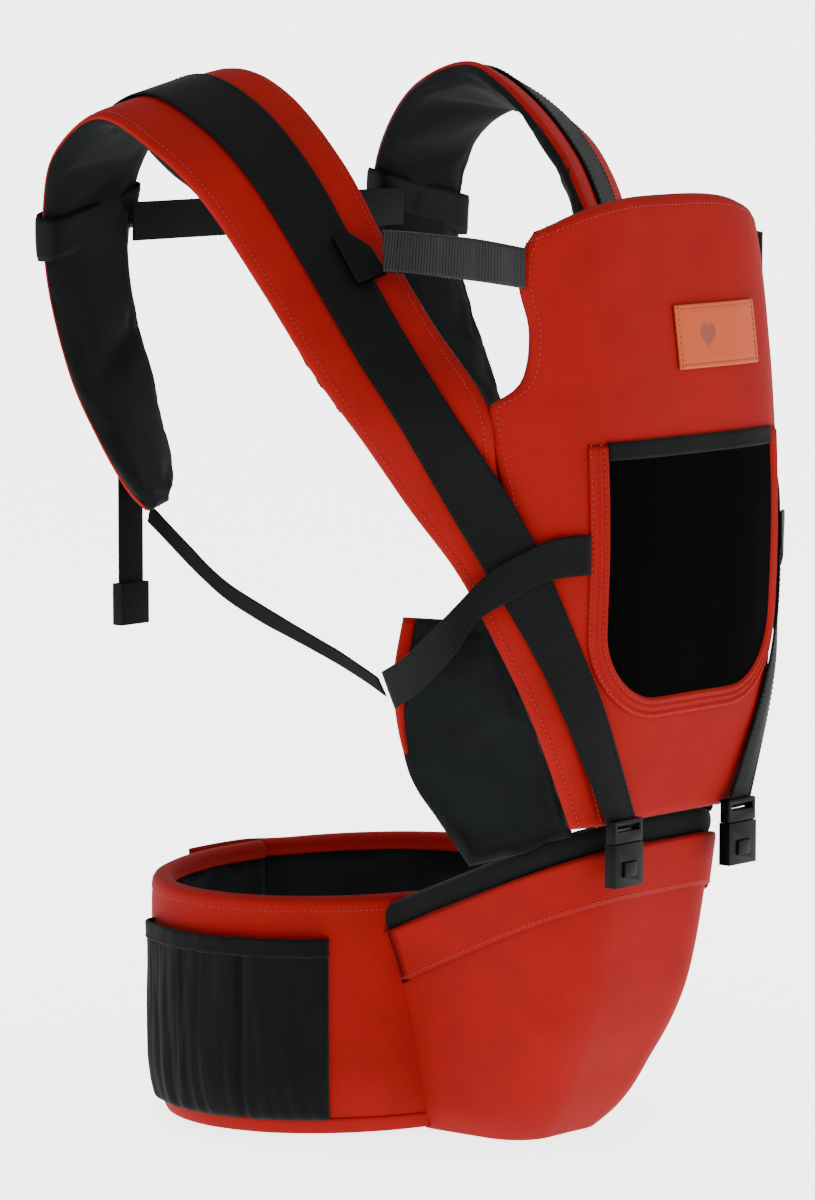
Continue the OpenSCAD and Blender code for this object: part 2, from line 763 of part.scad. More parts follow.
module ladder_locks() {
  plate_ribs = [for (i = [0 : len(lock_ribs) - 1]) let (rib = strap_rib(lock_ribs[i]))
    [for (s = lock_shares[i]) lerp(rib[0], rib[1], s)]];
  color(plastic) both_sides() slab(plate_ribs, -lock_high, -lock_low);
}
module cross_straps() {
  color(black) both_sides() slab(fine(cross_run, run_fine), 0, web_t);
}
module tail_webbings() {
  color(black) both_sides() slab(fine(tail_run, run_fine), 0, web_t);
}
module tip_locks() {
  color(plastic) both_sides() centred_box(tip_lock, tip_lock_at);
}
// The loose end of a shoulder strap's webbing, with its folded tab centred at a height
module loose_tail(tab_height) {
  color(black) {
    centred_box([tail_w, web_t, tail_top - tab_height], [tail_x, tail_y, (tail_top + tab_height) / 2]);
    centred_box(tail_tab, [tail_x, tail_y, tab_height]);
  }
}
module loose_tail_right() {
  loose_tail(tail_tab_z);
}
module loose_tail_left() {
  mirrored() loose_tail(tail_tab_z + tail_shorter);
}

// ---- Back strap ----
// The strap's outline at each rib of a band, `side` wider and between two depths
function band_loops(side, low, high) =
  let (edges = [for (at = band_ribs) let (rib = strap_rib(at), w = unit(rib[1] - rib[0]))
         [rib[0] - side * w, rib[1] + side * w]],
       near = moved(edges, low), far = moved(edges, high))
    [for (i = [0 : len(edges) - 1]) [near[i][0], near[i][1], far[i][1], far[i][0]]];
module back_bands() {
  low = -web_out - web_t - band_room;
  high = strap_inner + band_room;
  color(black) both_sides()
    tube(band_loops(band_side, low - web_t, high + web_t), band_loops(band_side - web_t, low, high));
}
module back_webbing_right() {
  color(black) translate([-back_reach, back_y - web_t / 2, back_z - back_web_w / 2])
    cube([back_reach - sr_len - gap, web_t, back_web_w]);
}
module back_webbing_left() {
  color(black) translate([sr_base + gap, back_y - web_t / 2, back_z - back_web_w / 2])
    cube([back_slack - sr_base, web_t, back_web_w]);
}
module back_buckle_female() {
  color(plastic) at_back_buckle() sr_female();
}
module back_buckle_male() {
  color(plastic) at_back_buckle() sr_male();
}
module back_prong_upper() {
  color(plastic) at_back_buckle() sr_prong();
}
module back_prong_lower() {
  color(plastic) at_back_buckle() mirror([0, 0, 1]) sr_prong();
}

seat_core();
seat_cover();
seat_top_pad();
seat_flap();
belt_cover();
belt_foam();
belt_lining();
belt_stiffener();
belt_top_binding();
belt_bottom_binding();
pocket_panel();
pocket_hem();
hook_patch();
loop_patch();
belt_anchor_webbing();
belt_buckle_female();
belt_buckle_male();
belt_adjust_webbing();
belt_prong_upper();
belt_prong_lower();
seat_buckle_tabs();
seat_buckle_female_right();
seat_buckle_female_left();
release_button_right();
release_button_left();
seat_buckle_male_right();
seat_buckle_male_left();
panel_outer();
panel_foam();
panel_lining();
window_mesh();
window_frame();
window_hem();
label_patch();
wing_right();
wing_left();
wing_bindings();
strap_cover_right();
strap_cover_left();
strap_foam_right();
strap_foam_left();
strap_lining_right();
strap_lining_left();
strap_webbing_right();
strap_webbing_left();
side_elastics();
ladder_locks();
cross_straps();
tail_webbings();
tip_locks();
loose_tail_right();
loose_tail_left();
back_bands();
back_webbing_right();
back_buckle_female();
back_buckle_male();
back_webbing_left();
back_prong_upper();
back_prong_lower();
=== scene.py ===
"""A hip-seat baby carrier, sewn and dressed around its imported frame.

Lengths in the classes are millimetres, and MM turns them into the frame's metres.
+Z is up, the panel faces -Y, and the wearer's right is -X.
"""

import json
import logging
import math
from dataclasses import dataclass, field
from enum import Enum

import bmesh
import bpy
import numpy as np
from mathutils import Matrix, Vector, noise

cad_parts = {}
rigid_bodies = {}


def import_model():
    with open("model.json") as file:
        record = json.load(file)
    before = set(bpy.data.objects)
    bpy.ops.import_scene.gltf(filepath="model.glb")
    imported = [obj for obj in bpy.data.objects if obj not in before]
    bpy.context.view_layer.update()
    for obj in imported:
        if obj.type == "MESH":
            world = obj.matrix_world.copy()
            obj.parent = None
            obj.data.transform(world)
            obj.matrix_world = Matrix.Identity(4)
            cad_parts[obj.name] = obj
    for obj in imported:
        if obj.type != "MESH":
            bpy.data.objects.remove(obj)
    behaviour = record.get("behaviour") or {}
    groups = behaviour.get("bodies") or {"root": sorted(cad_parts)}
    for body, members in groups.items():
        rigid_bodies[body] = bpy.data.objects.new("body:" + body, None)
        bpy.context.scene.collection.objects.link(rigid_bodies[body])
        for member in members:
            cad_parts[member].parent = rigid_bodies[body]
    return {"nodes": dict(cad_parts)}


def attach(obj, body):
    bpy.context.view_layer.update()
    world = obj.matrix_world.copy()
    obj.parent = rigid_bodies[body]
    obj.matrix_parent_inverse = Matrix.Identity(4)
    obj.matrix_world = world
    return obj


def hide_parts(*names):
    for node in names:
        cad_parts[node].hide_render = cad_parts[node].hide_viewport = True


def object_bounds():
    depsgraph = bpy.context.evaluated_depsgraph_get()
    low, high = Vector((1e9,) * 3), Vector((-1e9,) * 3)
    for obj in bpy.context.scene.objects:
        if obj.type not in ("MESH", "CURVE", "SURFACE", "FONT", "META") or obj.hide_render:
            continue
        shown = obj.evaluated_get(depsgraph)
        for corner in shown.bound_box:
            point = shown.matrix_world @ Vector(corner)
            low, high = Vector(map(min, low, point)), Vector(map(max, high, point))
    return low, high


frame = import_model()
CAD_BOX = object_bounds()
LOG = logging.getLogger("carrier")
MM = 0.001


class Side(Enum):
    """The wearer's side that a piece is on."""

    RIGHT = "right"
    LEFT = "left"


class Pattern(Enum):
    """How the surface of a fabric is made."""

    PLAIN_WEAVE = "plain weave"
    BRUSHED_KNIT = "brushed knit"
    WEBBING = "webbing"
    RIBBED = "ribbed elastic"
    NET = "net"
    PILE = "pile"


# ---------------------------------------------------------------- finishes


def linear_colour(hex_code: str) -> tuple[float, float, float, float]:
    """Turns an sRGB hex colour into the linear values that a shader takes.

    Args:
        hex_code: The colour as "#rrggbb".

    Returns:
        Linear red, green, blue and an alpha of one.
    """
    parts = [int(hex_code[i : i + 2], 16) / 255 for i in (1, 3, 5)]
    r, g, b = [c / 12.92 if c <= 0.04045 else ((c + 0.055) / 1.055) ** 2.4 for c in parts]
    return r, g, b, 1.0


def add_node(tree: bpy.types.NodeTree, kind: str, values: dict | None = None,
             links: dict | None = None, **settings: object) -> bpy.types.Node:
    """Adds one node to a tree.

    Args:
        tree: The tree that the node goes in.
        kind: The node's type name.
        values: Socket values by input name or number.
        links: Output sockets to join, by input name or number.
        settings: Attributes of the node itself.

    Returns:
        The new node.
    """
    node = tree.nodes.new(kind)
    for name, value in settings.items():
        setattr(node, name, value)
    for name, value in (values or {}).items():
        node.inputs[name].default_value = value
    for name, socket in (links or {}).items():
        tree.links.new(socket, node.inputs[name])
    return node


def wave_scale(pitch: float) -> float:
    """The Wave texture's scale that puts its bands `pitch` millimetres apart."""
    return math.pi / (10 * pitch * MM)


@dataclass(frozen=True)
class Fabric:
    """A textile: its colours, its pattern at a real pitch, and how it takes light."""

    name: str
    colour: str
    shade: str
    pattern: Pattern
    pitch: float
    relief: float
    roughness: float = 0.85
    sheen: float = 0.25
    sheen_colour: str = "#ffffff"
    specular: float = 0.25
    cloud: float = 35.0

    def material(self) -> bpy.types.Material:
        """Builds the textile's material on each piece's own UV map, which is in metres."""
        mat = bpy.data.materials.new(self.name)
        mat.use_nodes = True
        tree = mat.node_tree
        tree.nodes.clear()
        place = add_node(tree, "ShaderNodeTexCoord")
        height = self._height(tree, place.outputs["UV"])
        cloud = add_node(tree, "ShaderNodeTexNoise", {"Scale": 1 / (self.cloud * MM), "Detail": 3.0},
                         {"Vector": place.outputs["Object"]})
        blend = add_node(tree, "ShaderNodeMath", {1: 0.45}, {0: height}, operation="MULTIPLY")
        mixed = add_node(tree, "ShaderNodeMath", {2: 0.0}, {0: cloud.outputs["Fac"], 1: blend.outputs[0]},
                         operation="ADD")
        ramp = add_node(tree, "ShaderNodeMapRange", {"From Min": 0.3, "From Max": 1.0},
                        {"Value": mixed.outputs[0]})
        tint = add_node(tree, "ShaderNodeMix", links={"Factor": ramp.outputs[0]}, data_type="RGBA")
        tint.inputs["A"].default_value = linear_colour(self.shade)
        tint.inputs["B"].default_value = linear_colour(self.colour)
        bump = add_node(tree, "ShaderNodeBump", {"Strength": 0.6, "Distance": self.relief * MM},
                        {"Height": height})
        shader = add_node(tree, "ShaderNodeBsdfPrincipled",
                          {"Roughness": self.roughness, "Sheen Weight": self.sheen, "Sheen Roughness": 0.45,
                           "Sheen Tint": linear_colour(self.sheen_colour), "Specular IOR Level": self.specular},
                          {"Base Color": tint.outputs["Result"], "Normal": bump.outputs["Normal"]})
        add_node(tree, "ShaderNodeOutputMaterial", links={"Surface": shader.outputs[0]})
        return mat

    def _height(self, tree: bpy.types.NodeTree, uv: bpy.types.NodeSocket) -> bpy.types.NodeSocket:
        """The height of the thread pattern.

        Args:
            tree: The material's tree.
            uv: The piece's UV map, in metres.

        Returns:
            The socket that carries the height, from 0 to 1.
        """
        scale = wave_scale(self.pitch)
        if self.pattern in (Pattern.BRUSHED_KNIT, Pattern.PILE):
            fuzz = add_node(tree, "ShaderNodeTexNoise", {"Scale": 1 / (self.pitch * MM), "Detail": 4.0},
                            {"Vector": uv})
            return fuzz.outputs["Fac"]
        along = add_node(tree, "ShaderNodeTexWave", {"Scale": scale, "Distortion": 0.6, "Detail Scale": 0.3},
                         {"Vector": uv}, bands_direction="X")
        if self.pattern is Pattern.RIBBED:
            return along.outputs["Fac"]
        slant = "DIAGONAL" if self.pattern is Pattern.WEBBING else "Y"
        across = add_node(tree, "ShaderNodeTexWave", {"Scale": scale, "Distortion": 0.6, "Detail Scale": 0.3},
                          {"Vector": uv}, bands_direction=slant)
        how = "MULTIPLY" if self.pattern is Pattern.NET else "ADD"
        woven = add_node(tree, "ShaderNodeMath", {}, {0: along.outputs["Fac"], 1: across.outputs["Fac"]},
                         operation=how)
        half = add_node(tree, "ShaderNodeMath", {1: 0.5}, {0: woven.outputs[0]}, operation="MULTIPLY")
        return half.outputs[0]


@dataclass(frozen=True)
class SolidFinish:
    """A moulded, tanned or painted finish, patterned on object coordinates."""

    name: str
    colour: str
    shade: str
    grain: float
    relief: float
    roughness: float
    specular: float = 0.3

    def material(self) -> bpy.types.Material:
        """Builds the material: a fine grain in the bump, the colour and the gloss."""
        mat = bpy.data.materials.new(self.name)
        mat.use_nodes = True
        tree = mat.node_tree
        tree.nodes.clear()
        place = add_node(tree, "ShaderNodeTexCoord")
        grain = add_node(tree, "ShaderNodeTexNoise", {"Scale": 1 / (self.grain * MM), "Detail": 5.0},
                         {"Vector": place.outputs["Object"]})
        cell = add_node(tree, "ShaderNodeTexVoronoi", {"Scale": 1 / (2 * self.grain * MM)},
                        {"Vector": place.outputs["Object"]}, feature="F1")
        height = add_node(tree, "ShaderNodeMath", {}, {0: grain.outputs["Fac"], 1: cell.outputs["Distance"]},
                          operation="ADD")
        tint = add_node(tree, "ShaderNodeMix", links={"Factor": grain.outputs["Fac"]}, data_type="RGBA")
        tint.inputs["A"].default_value = linear_colour(self.shade)
        tint.inputs["B"].default_value = linear_colour(self.colour)
        gloss = add_node(tree, "ShaderNodeMapRange",
                         {"To Min": self.roughness - 0.06, "To Max": self.roughness + 0.08},
                         {"Value": grain.outputs["Fac"]})
        bump = add_node(tree, "ShaderNodeBump", {"Strength": 0.4, "Distance": self.relief * MM},
                        {"Height": height.outputs[0]})
        shader = add_node(tree, "ShaderNodeBsdfPrincipled", {"IOR": 1.49, "Specular IOR Level": self.specular},
                          {"Base Color": tint.outputs["Result"], "Roughness": gloss.outputs[0],
                           "Normal": bump.outputs["Normal"]})
        add_node(tree, "ShaderNodeOutputMaterial", links={"Surface": shader.outputs[0]})
        return mat


# Plain-weave polyester, piece-dyed: matt with a faint grid of threads, drawn three times as coarse
# as its 0.4 mm threads so that it shows.
RED_POLYESTER = Fabric("red_polyester_weave", "#710907", "#640706", Pattern.PLAIN_WEAVE, 1.2, 0.12,
                       sheen=0.0, specular=0.08)
# Brushed knit lining: very matt, with a soft grey bloom at grazing angles.
BLACK_KNIT = Fabric("black_brushed_knit", "#111313", "#0a0b0b", Pattern.BRUSHED_KNIT, 0.8, 0.25,
                    roughness=0.95, sheen=0.08, sheen_colour="#8b9090", specular=0.04)
# Polyester webbing: a twill of coarse threads with a slight shine.
BLACK_WEBBING = Fabric("black_polyester_webbing", "#060607", "#020303", Pattern.WEBBING, 1.6, 0.3,
                       roughness=0.7, sheen=0.0, specular=0.07)
# Gathered elastic: rows of covered rubber that catch the light as fine lines.
RIBBED_ELASTIC = Fabric("black_ribbed_elastic", "#0c0c0d", "#020202", Pattern.RIBBED, 2.2, 0.5,
                        roughness=0.45, sheen=0.0, specular=0.22)
# Stretch fabric of the belt pocket: a fine vertical rib.
POCKET_STRETCH = Fabric("black_pocket_stretch", "#070808", "#030303", Pattern.RIBBED, 1.4, 0.2,
                        roughness=0.9, sheen=0.05, sheen_colour="#8b9090", specular=0.08)
# Spacer mesh of the window: deep black between fine threads.
SPACER_MESH = Fabric("black_spacer_mesh", "#020202", "#010101", Pattern.NET, 2.0, 0.4,
                     roughness=1.0, sheen=0.0, specular=0.02)
# Hook and loop tape: a short dull pile.
HOOK_PILE = Fabric("black_hook_pile", "#191919", "#0a0a0a", Pattern.PILE, 0.6, 0.4, roughness=0.95)
# Leather-look patch: tan polyurethane with a pressed grain.
TAN_PATCH = SolidFinish("tan_patch_leather", "#97380a", "#873008", 0.9, 0.12, 0.6, specular=0.2)
# Darker where the die has burnt the patch.
PRESSED_PATCH = SolidFinish("tan_patch_pressed", "#6d2a12", "#5e230f", 0.9, 0.12, 0.6)
# Moulded acetal with a spark-eroded texture: black with a soft highlight.
BLACK_ACETAL = SolidFinish("black_moulded_acetal", "#020303", "#010101", 0.5, 0.05, 0.4, specular=0.06)
# Bonded polyester thread.
RED_THREAD = SolidFinish("red_sewing_thread", "#6f0f0c", "#5f0c0a", 0.4, 0.02, 0.6)
BLACK_THREAD = SolidFinish("black_sewing_thread", "#0e0f0f", "#080909", 0.4, 0.02, 0.8, specular=0.1)
TAN_THREAD = SolidFinish("brown_sewing_thread", "#5c2a14", "#4c2210", 0.4, 0.02, 0.6)

MATERIALS: dict[str, bpy.types.Material] = {
    finish.name: finish.material()
    for finish in (RED_POLYESTER, BLACK_KNIT, BLACK_WEBBING, RIBBED_ELASTIC, POCKET_STRETCH, SPACER_MESH,
                   HOOK_PILE, TAN_PATCH, PRESSED_PATCH, BLACK_ACETAL, RED_THREAD, BLACK_THREAD, TAN_THREAD)
}


# ---------------------------------------------------------------- cloth surfaces


def curve_through(points: np.ndarray, at: np.ndarray) -> np.ndarray:
    """Samples a smooth curve through points.

    Args:
        points: The points, along the first axis.
        at: Where to sample, from 0 to the number of points less one.

    Returns:
        The sampled points.
    """
    last = len(points) - 1
    i = np.clip(np.floor(at).astype(int), 0, max(last - 1, 0))
    t = (at - i).reshape((-1,) + (1,) * (points.ndim - 1))
    p0, p1 = points[np.maximum(i - 1, 0)], points[i]
    p2, p3 = points[np.minimum(i + 1, last)], points[np.minimum(i + 2, last)]
    return 0.5 * (2 * p1 + (p2 - p0) * t + (2 * p0 - 5 * p1 + 4 * p2 - p3) * t**2
                  + (3 * p1 - p0 - 3 * p2 + p3) * t**3)


def steps_along(points: np.ndarray, step: float) -> np.ndarray:
    """Sample places about `step` apart along a line of points.

    Args:
        points: The points of the line.
        step: The spacing, in the points' unit.

    Returns:
        Places for curve_through.
    """
    places = []
    for k, length in enumerate(np.linalg.norm(np.diff(points, axis=0), axis=1)):
        count = max(1, round(length / step))
        places += [k + j / count for j in range(count)]
    return np.array(places + [len(points) - 1.0])


def edge_shares(count: int, crowd: float = 0.5) -> np.ndarray:
    """Shares from 0 to 1 that crowd together at both ends, for a rounded edge.

    Args:
        count: How many shares.
        crowd: From 0, even, to 1, most crowded.

    Returns:
        The shares.
    """
    t = np.linspace(0, 1, count)
    return (1 - crowd) * t + crowd * (0.5 - 0.5 * np.cos(math.pi * t))


def ripple(points: np.ndarray, size: float, seed: float) -> np.ndarray:
    """Smooth noise at each point, from about -1 to 1.

    Args:
        points: Points in metres, along the first two axes.
        size: The size of a wave in millimetres.
        seed: A shift that gives each use its own waves.

    Returns:
        One value for each point.
    """
    flat = points.reshape(-1, 3) / (size * MM) + seed
    return np.array([noise.noise(Vector(p)) for p in flat]).reshape(points.shape[:2])


@dataclass
class Surface:
    """A smooth grid of points in metres: rows along a piece, columns across it."""

    points: np.ndarray

    @staticmethod
    def through(ribs: object, step: float, shares: np.ndarray) -> "Surface":
        """Makes a surface through given ribs.

        Args:
            ribs: Rows of points in millimetres.
            step: The spacing of the rows in millimetres.
            shares: Where the columns lie between the first and the last point of a rib.

        Returns:
            The surface.
        """
        grid = np.array(ribs, float)
        middle = grid[:, grid.shape[1] // 2]
        long = curve_through(grid, steps_along(middle, step))
        wide = curve_through(long.transpose(1, 0, 2), shares * (grid.shape[1] - 1))
        return Surface(wide.transpose(1, 0, 2) * MM)

    def mirrored(self) -> "Surface":
        """The same surface on the other side, with its normals kept on the same face."""
        return Surface(self.points[:, ::-1] * np.array([-1, 1, 1]))

    def on(self, side: Side) -> "Surface":
        """The surface on a side; it is drawn for the right."""
        return self if side is Side.RIGHT else self.mirrored()

    def normals(self) -> np.ndarray:
        """Unit normals, the rows' direction crossed with the columns'."""
        p = self.points
        down = np.concatenate([p[1:2] - p[:1], p[2:] - p[:-2], p[-1:] - p[-2:-1]])
        over = np.concatenate([p[:, 1:2] - p[:, :1], p[:, 2:] - p[:, :-2], p[:, -1:] - p[:, -2:-1]], axis=1)
        n = np.cross(down, over)
        return n / np.maximum(np.linalg.norm(n, axis=2, keepdims=True), 1e-12)

    def spans(self) -> tuple[np.ndarray, np.ndarray]:
        """Arc lengths from the first row and from the first column, in metres."""
        p = self.points
        along = np.linalg.norm(np.diff(p, axis=0), axis=2)
        across = np.linalg.norm(np.diff(p, axis=1), axis=2)
        zero_row, zero_col = np.zeros((1, p.shape[1])), np.zeros((p.shape[0], 1))
        return (np.concatenate([zero_row, np.cumsum(along, axis=0)]),
                np.concatenate([zero_col, np.cumsum(across, axis=1)], axis=1))

    def edge_distance(self) -> np.ndarray:
        """Each point's distance from the nearest border, in metres."""
        along, across = self.spans()
        return np.minimum(np.minimum(along, along[-1:] - along), np.minimum(across, across[:, -1:] - across))

    def lifted(self, depth: object) -> "Surface":
        """The surface moved along its normals.

        Args:
            depth: Millimetres, one number or one for each point.

        Returns:
            The moved surface.
        """
        amount = np.broadcast_to(np.asarray(depth, float), self.points.shape[:2])
        return Surface(self.points + amount[..., None] * MM * self.normals())

    def line_in(self, inset: float, edge: str) -> np.ndarray:
        """A line of points a set distance in from one border.

        Args:
            inset: The distance in millimetres.
            edge: "first" or "last" column, "start" or "end" row.

        Returns:
            The points of the line.
        """
        along, across = self.spans()
        p, run = self.points, across
        if edge in ("start", "end"):
            p, run = p.transpose(1, 0, 2), along.T
        if edge in ("last", "end"):
            p, run = p[:, ::-1], run[:, -1:] - run[:, ::-1]
        line = []
        for row, distance in zip(p, run):
            line.append([np.interp(inset * MM, distance, row[:, k]) for k in range(3)])
        return np.array(line)


def make_object(name: str, verts: np.ndarray, faces: list, material: bpy.types.Material,
                uv: np.ndarray | None = None) -> bpy.types.Object:
    """Makes a smooth-shaded mesh object whose faces point outwards.

    Args:
        name: The object's name.
        verts: Points in metres.
        faces: Lists of point numbers.
        material: The finish.
        uv: A UV place for each point, in metres.

    Returns:
        The object, at the origin.
    """
    mesh = bpy.data.meshes.new(name)
    mesh.from_pydata([tuple(v) for v in verts], [], faces)
    if uv is not None:
        layer = mesh.uv_layers.new(name="cloth")
        loops = np.zeros(len(mesh.loops), int)
        mesh.loops.foreach_get("vertex_index", loops)
        layer.data.foreach_set("uv", uv[loops].astype(np.float32).ravel())
    shell = bmesh.new()
    shell.from_mesh(mesh)
    bmesh.ops.recalc_face_normals(shell, faces=shell.faces)
    shell.to_mesh(mesh)
    shell.free()
    mesh.shade_smooth()
    mesh.materials.append(material)
    obj = bpy.data.objects.new(name, mesh)
    bpy.context.scene.collection.objects.link(obj)
    return obj


def wear(obj: bpy.types.Object, body: str, nodes: tuple[str, ...]) -> bpy.types.Object:
    """Puts a finished piece on its body.

    Args:
        obj: The piece.
        body: The CAD body that it rides on.
        nodes: The CAD nodes that it stands for.

    Returns:
        The piece.
    """
    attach(obj, body)
    if nodes:
        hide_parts(*nodes)
    LOG.info("%s rides on %s: %d faces", obj.name, body, len(obj.data.polygons))
    return obj


@dataclass
class Pad:
    """A closed piece of cloth between two skins of a surface that meet in a seam all round.

    Depths are millimetres along the surface's normals, each one number or one for each point.
    """

    name: str
    surface: Surface
    face: object
    back: object
    seam: object
    finish: Fabric | SolidFinish
    face_round: float = 6.0
    back_round: float = 6.0
    grooves: tuple[tuple[float, float, float], ...] = ()
    obj: bpy.types.Object = field(init=False)

    def __post_init__(self) -> None:
        """Builds the mesh as soon as the sizes are known."""
        rows, cols = self.surface.points.shape[:2]
        edge = self.surface.edge_distance() / MM
        groove = sum(depth * np.exp(-(((edge - inset) / width) ** 2)) for inset, depth, width in self.grooves)
        shape = edge.shape
        seam = np.broadcast_to(np.asarray(self.seam, float), shape)
        face = np.broadcast_to(np.asarray(self.face, float), shape)
        back = np.broadcast_to(np.asarray(self.back, float), shape)
        face = seam + (face - seam) * self._swell(edge, self.face_round)
        face = face + np.sign(seam - face) * groove * (edge > 0)
        back = seam + (back - seam) * self._swell(edge, self.back_round)
        self.ids = np.arange(rows * cols).reshape(rows, cols)
        inner = np.full(shape, False)
        inner[1:-1, 1:-1] = True
        back_ids = self.ids.copy()
        back_ids[inner] = rows * cols + np.arange(inner.sum())
        along, across = self.surface.spans()
        place = np.stack([along, across], axis=2)
        verts = np.concatenate([self.surface.lifted(face).points.reshape(-1, 3),
                                self.surface.lifted(back).points[inner]])
        uv = np.concatenate([place.reshape(-1, 2), place[inner]])
        faces = self._quads(self.ids, False) + self._quads(back_ids, True)
        self.obj = make_object(self.name, verts, faces, MATERIALS[self.finish.name], uv)

    @staticmethod
    def _swell(edge: np.ndarray, radius: float) -> np.ndarray:
        """The share of its full depth that a skin has at a distance from the seam."""
        inside = 1 - np.clip(edge / max(radius, 1e-6), 0, 1)
        return np.sqrt(1 - inside**2)

    @staticmethod
    def _quads(ids: np.ndarray, turned: bool) -> list:
        """The faces of one skin, wound the other way when turned."""
        a, b, c, d = ids[:-1, :-1], ids[:-1, 1:], ids[1:, 1:], ids[1:, :-1]
        order = (a, d, c, b) if turned else (a, b, c, d)
        return np.stack(order, axis=2).reshape(-1, 4).tolist()

    def face_surface(self) -> Surface:
        """The face skin as it is now, for stitches that lie on it."""
        co = np.zeros(len(self.obj.data.vertices) * 3)
        self.obj.data.vertices.foreach_get("co", co)
        return Surface(co.reshape(-1, 3)[self.ids])

    def fill(self, pressure: float, ease: float, cap: float) -> "Pad":
        """Fills the pad with wadding, by a cloth simulation that holds its seam.

        Args:
            pressure: How hard the wadding pushes.
            ease: The share by which the cloth is cut larger, which makes it pucker.
            cap: The furthest that a point may move, in millimetres.

        Returns:
            The pad.
        """
        rim = np.concatenate([self.ids[0], self.ids[-1], self.ids[:, 0], self.ids[:, -1]])
        group = self.obj.vertex_groups.new(name="seam")
        group.add([int(i) for i in rim], 1.0, "REPLACE")
        settle(self.obj, pressure, ease, cap)
        self.obj.vertex_groups.clear()
        return self


def settle(obj: bpy.types.Object, pressure: float, ease: float, cap: float, frames: int = 20) -> None:
    """Lets a filled cloth settle with its seam held, and keeps the result.

    Args:
        obj: A closed mesh with a vertex group named seam.
        pressure: The pressure inside.
        ease: The share by which the cloth is cut larger.
        cap: The furthest that a point may move, in millimetres.
        frames: How long it settles.
    """
    before = np.zeros(len(obj.data.vertices) * 3)
    obj.data.vertices.foreach_get("co", before)
    cloth = obj.modifiers.new("cloth", "CLOTH")
    s = cloth.settings
    s.quality = 5
    s.mass = 0.25
    s.tension_stiffness = s.compression_stiffness = 12
    s.shear_stiffness = 4
    s.bending_stiffness = 0.4
    s.vertex_group_mass = "seam"
    s.shrink_min = -ease
    s.use_pressure = True
    s.uniform_pressure_force = pressure
    s.effector_weights.gravity = 0
    cloth.collision_settings.use_self_collision = False
    scene = bpy.context.scene
    for number in range(1, frames + 1):
        scene.frame_set(number)
    cooked = obj.evaluated_get(bpy.context.evaluated_depsgraph_get())
    after = np.zeros_like(before)
    cooked.data.vertices.foreach_get("co", after)
    obj.modifiers.remove(cloth)
    scene.frame_set(1)
    move = (after - before).reshape(-1, 3)
    length = np.linalg.norm(move, axis=1, keepdims=True)
    move *= np.minimum(1, cap * MM / np.maximum(length, 1e-9))
    obj.data.vertices.foreach_set("co", (before.reshape(-1, 3) + move).ravel().astype(np.float32))
    obj.data.update()


def webbing(name: str, surface: Surface, low: float, high: float, finish: Fabric,
            lift: object = 0.0) -> Pad:
    """A flat woven tape between two depths of a surface.

    Args:
        name: The piece's name.
        surface: The surface that it follows.
        low: The nearer depth in millimetres.
        high: The further depth.
        finish: The textile.
        lift: Extra depth at each point, for ribs and waves.

    Returns:
        The tape.
    """
    return Pad(name, surface, low + lift, high + lift, (low + high) / 2 + lift, finish, 1.0, 1.0)


# ---------------------------------------------------------------- stitches


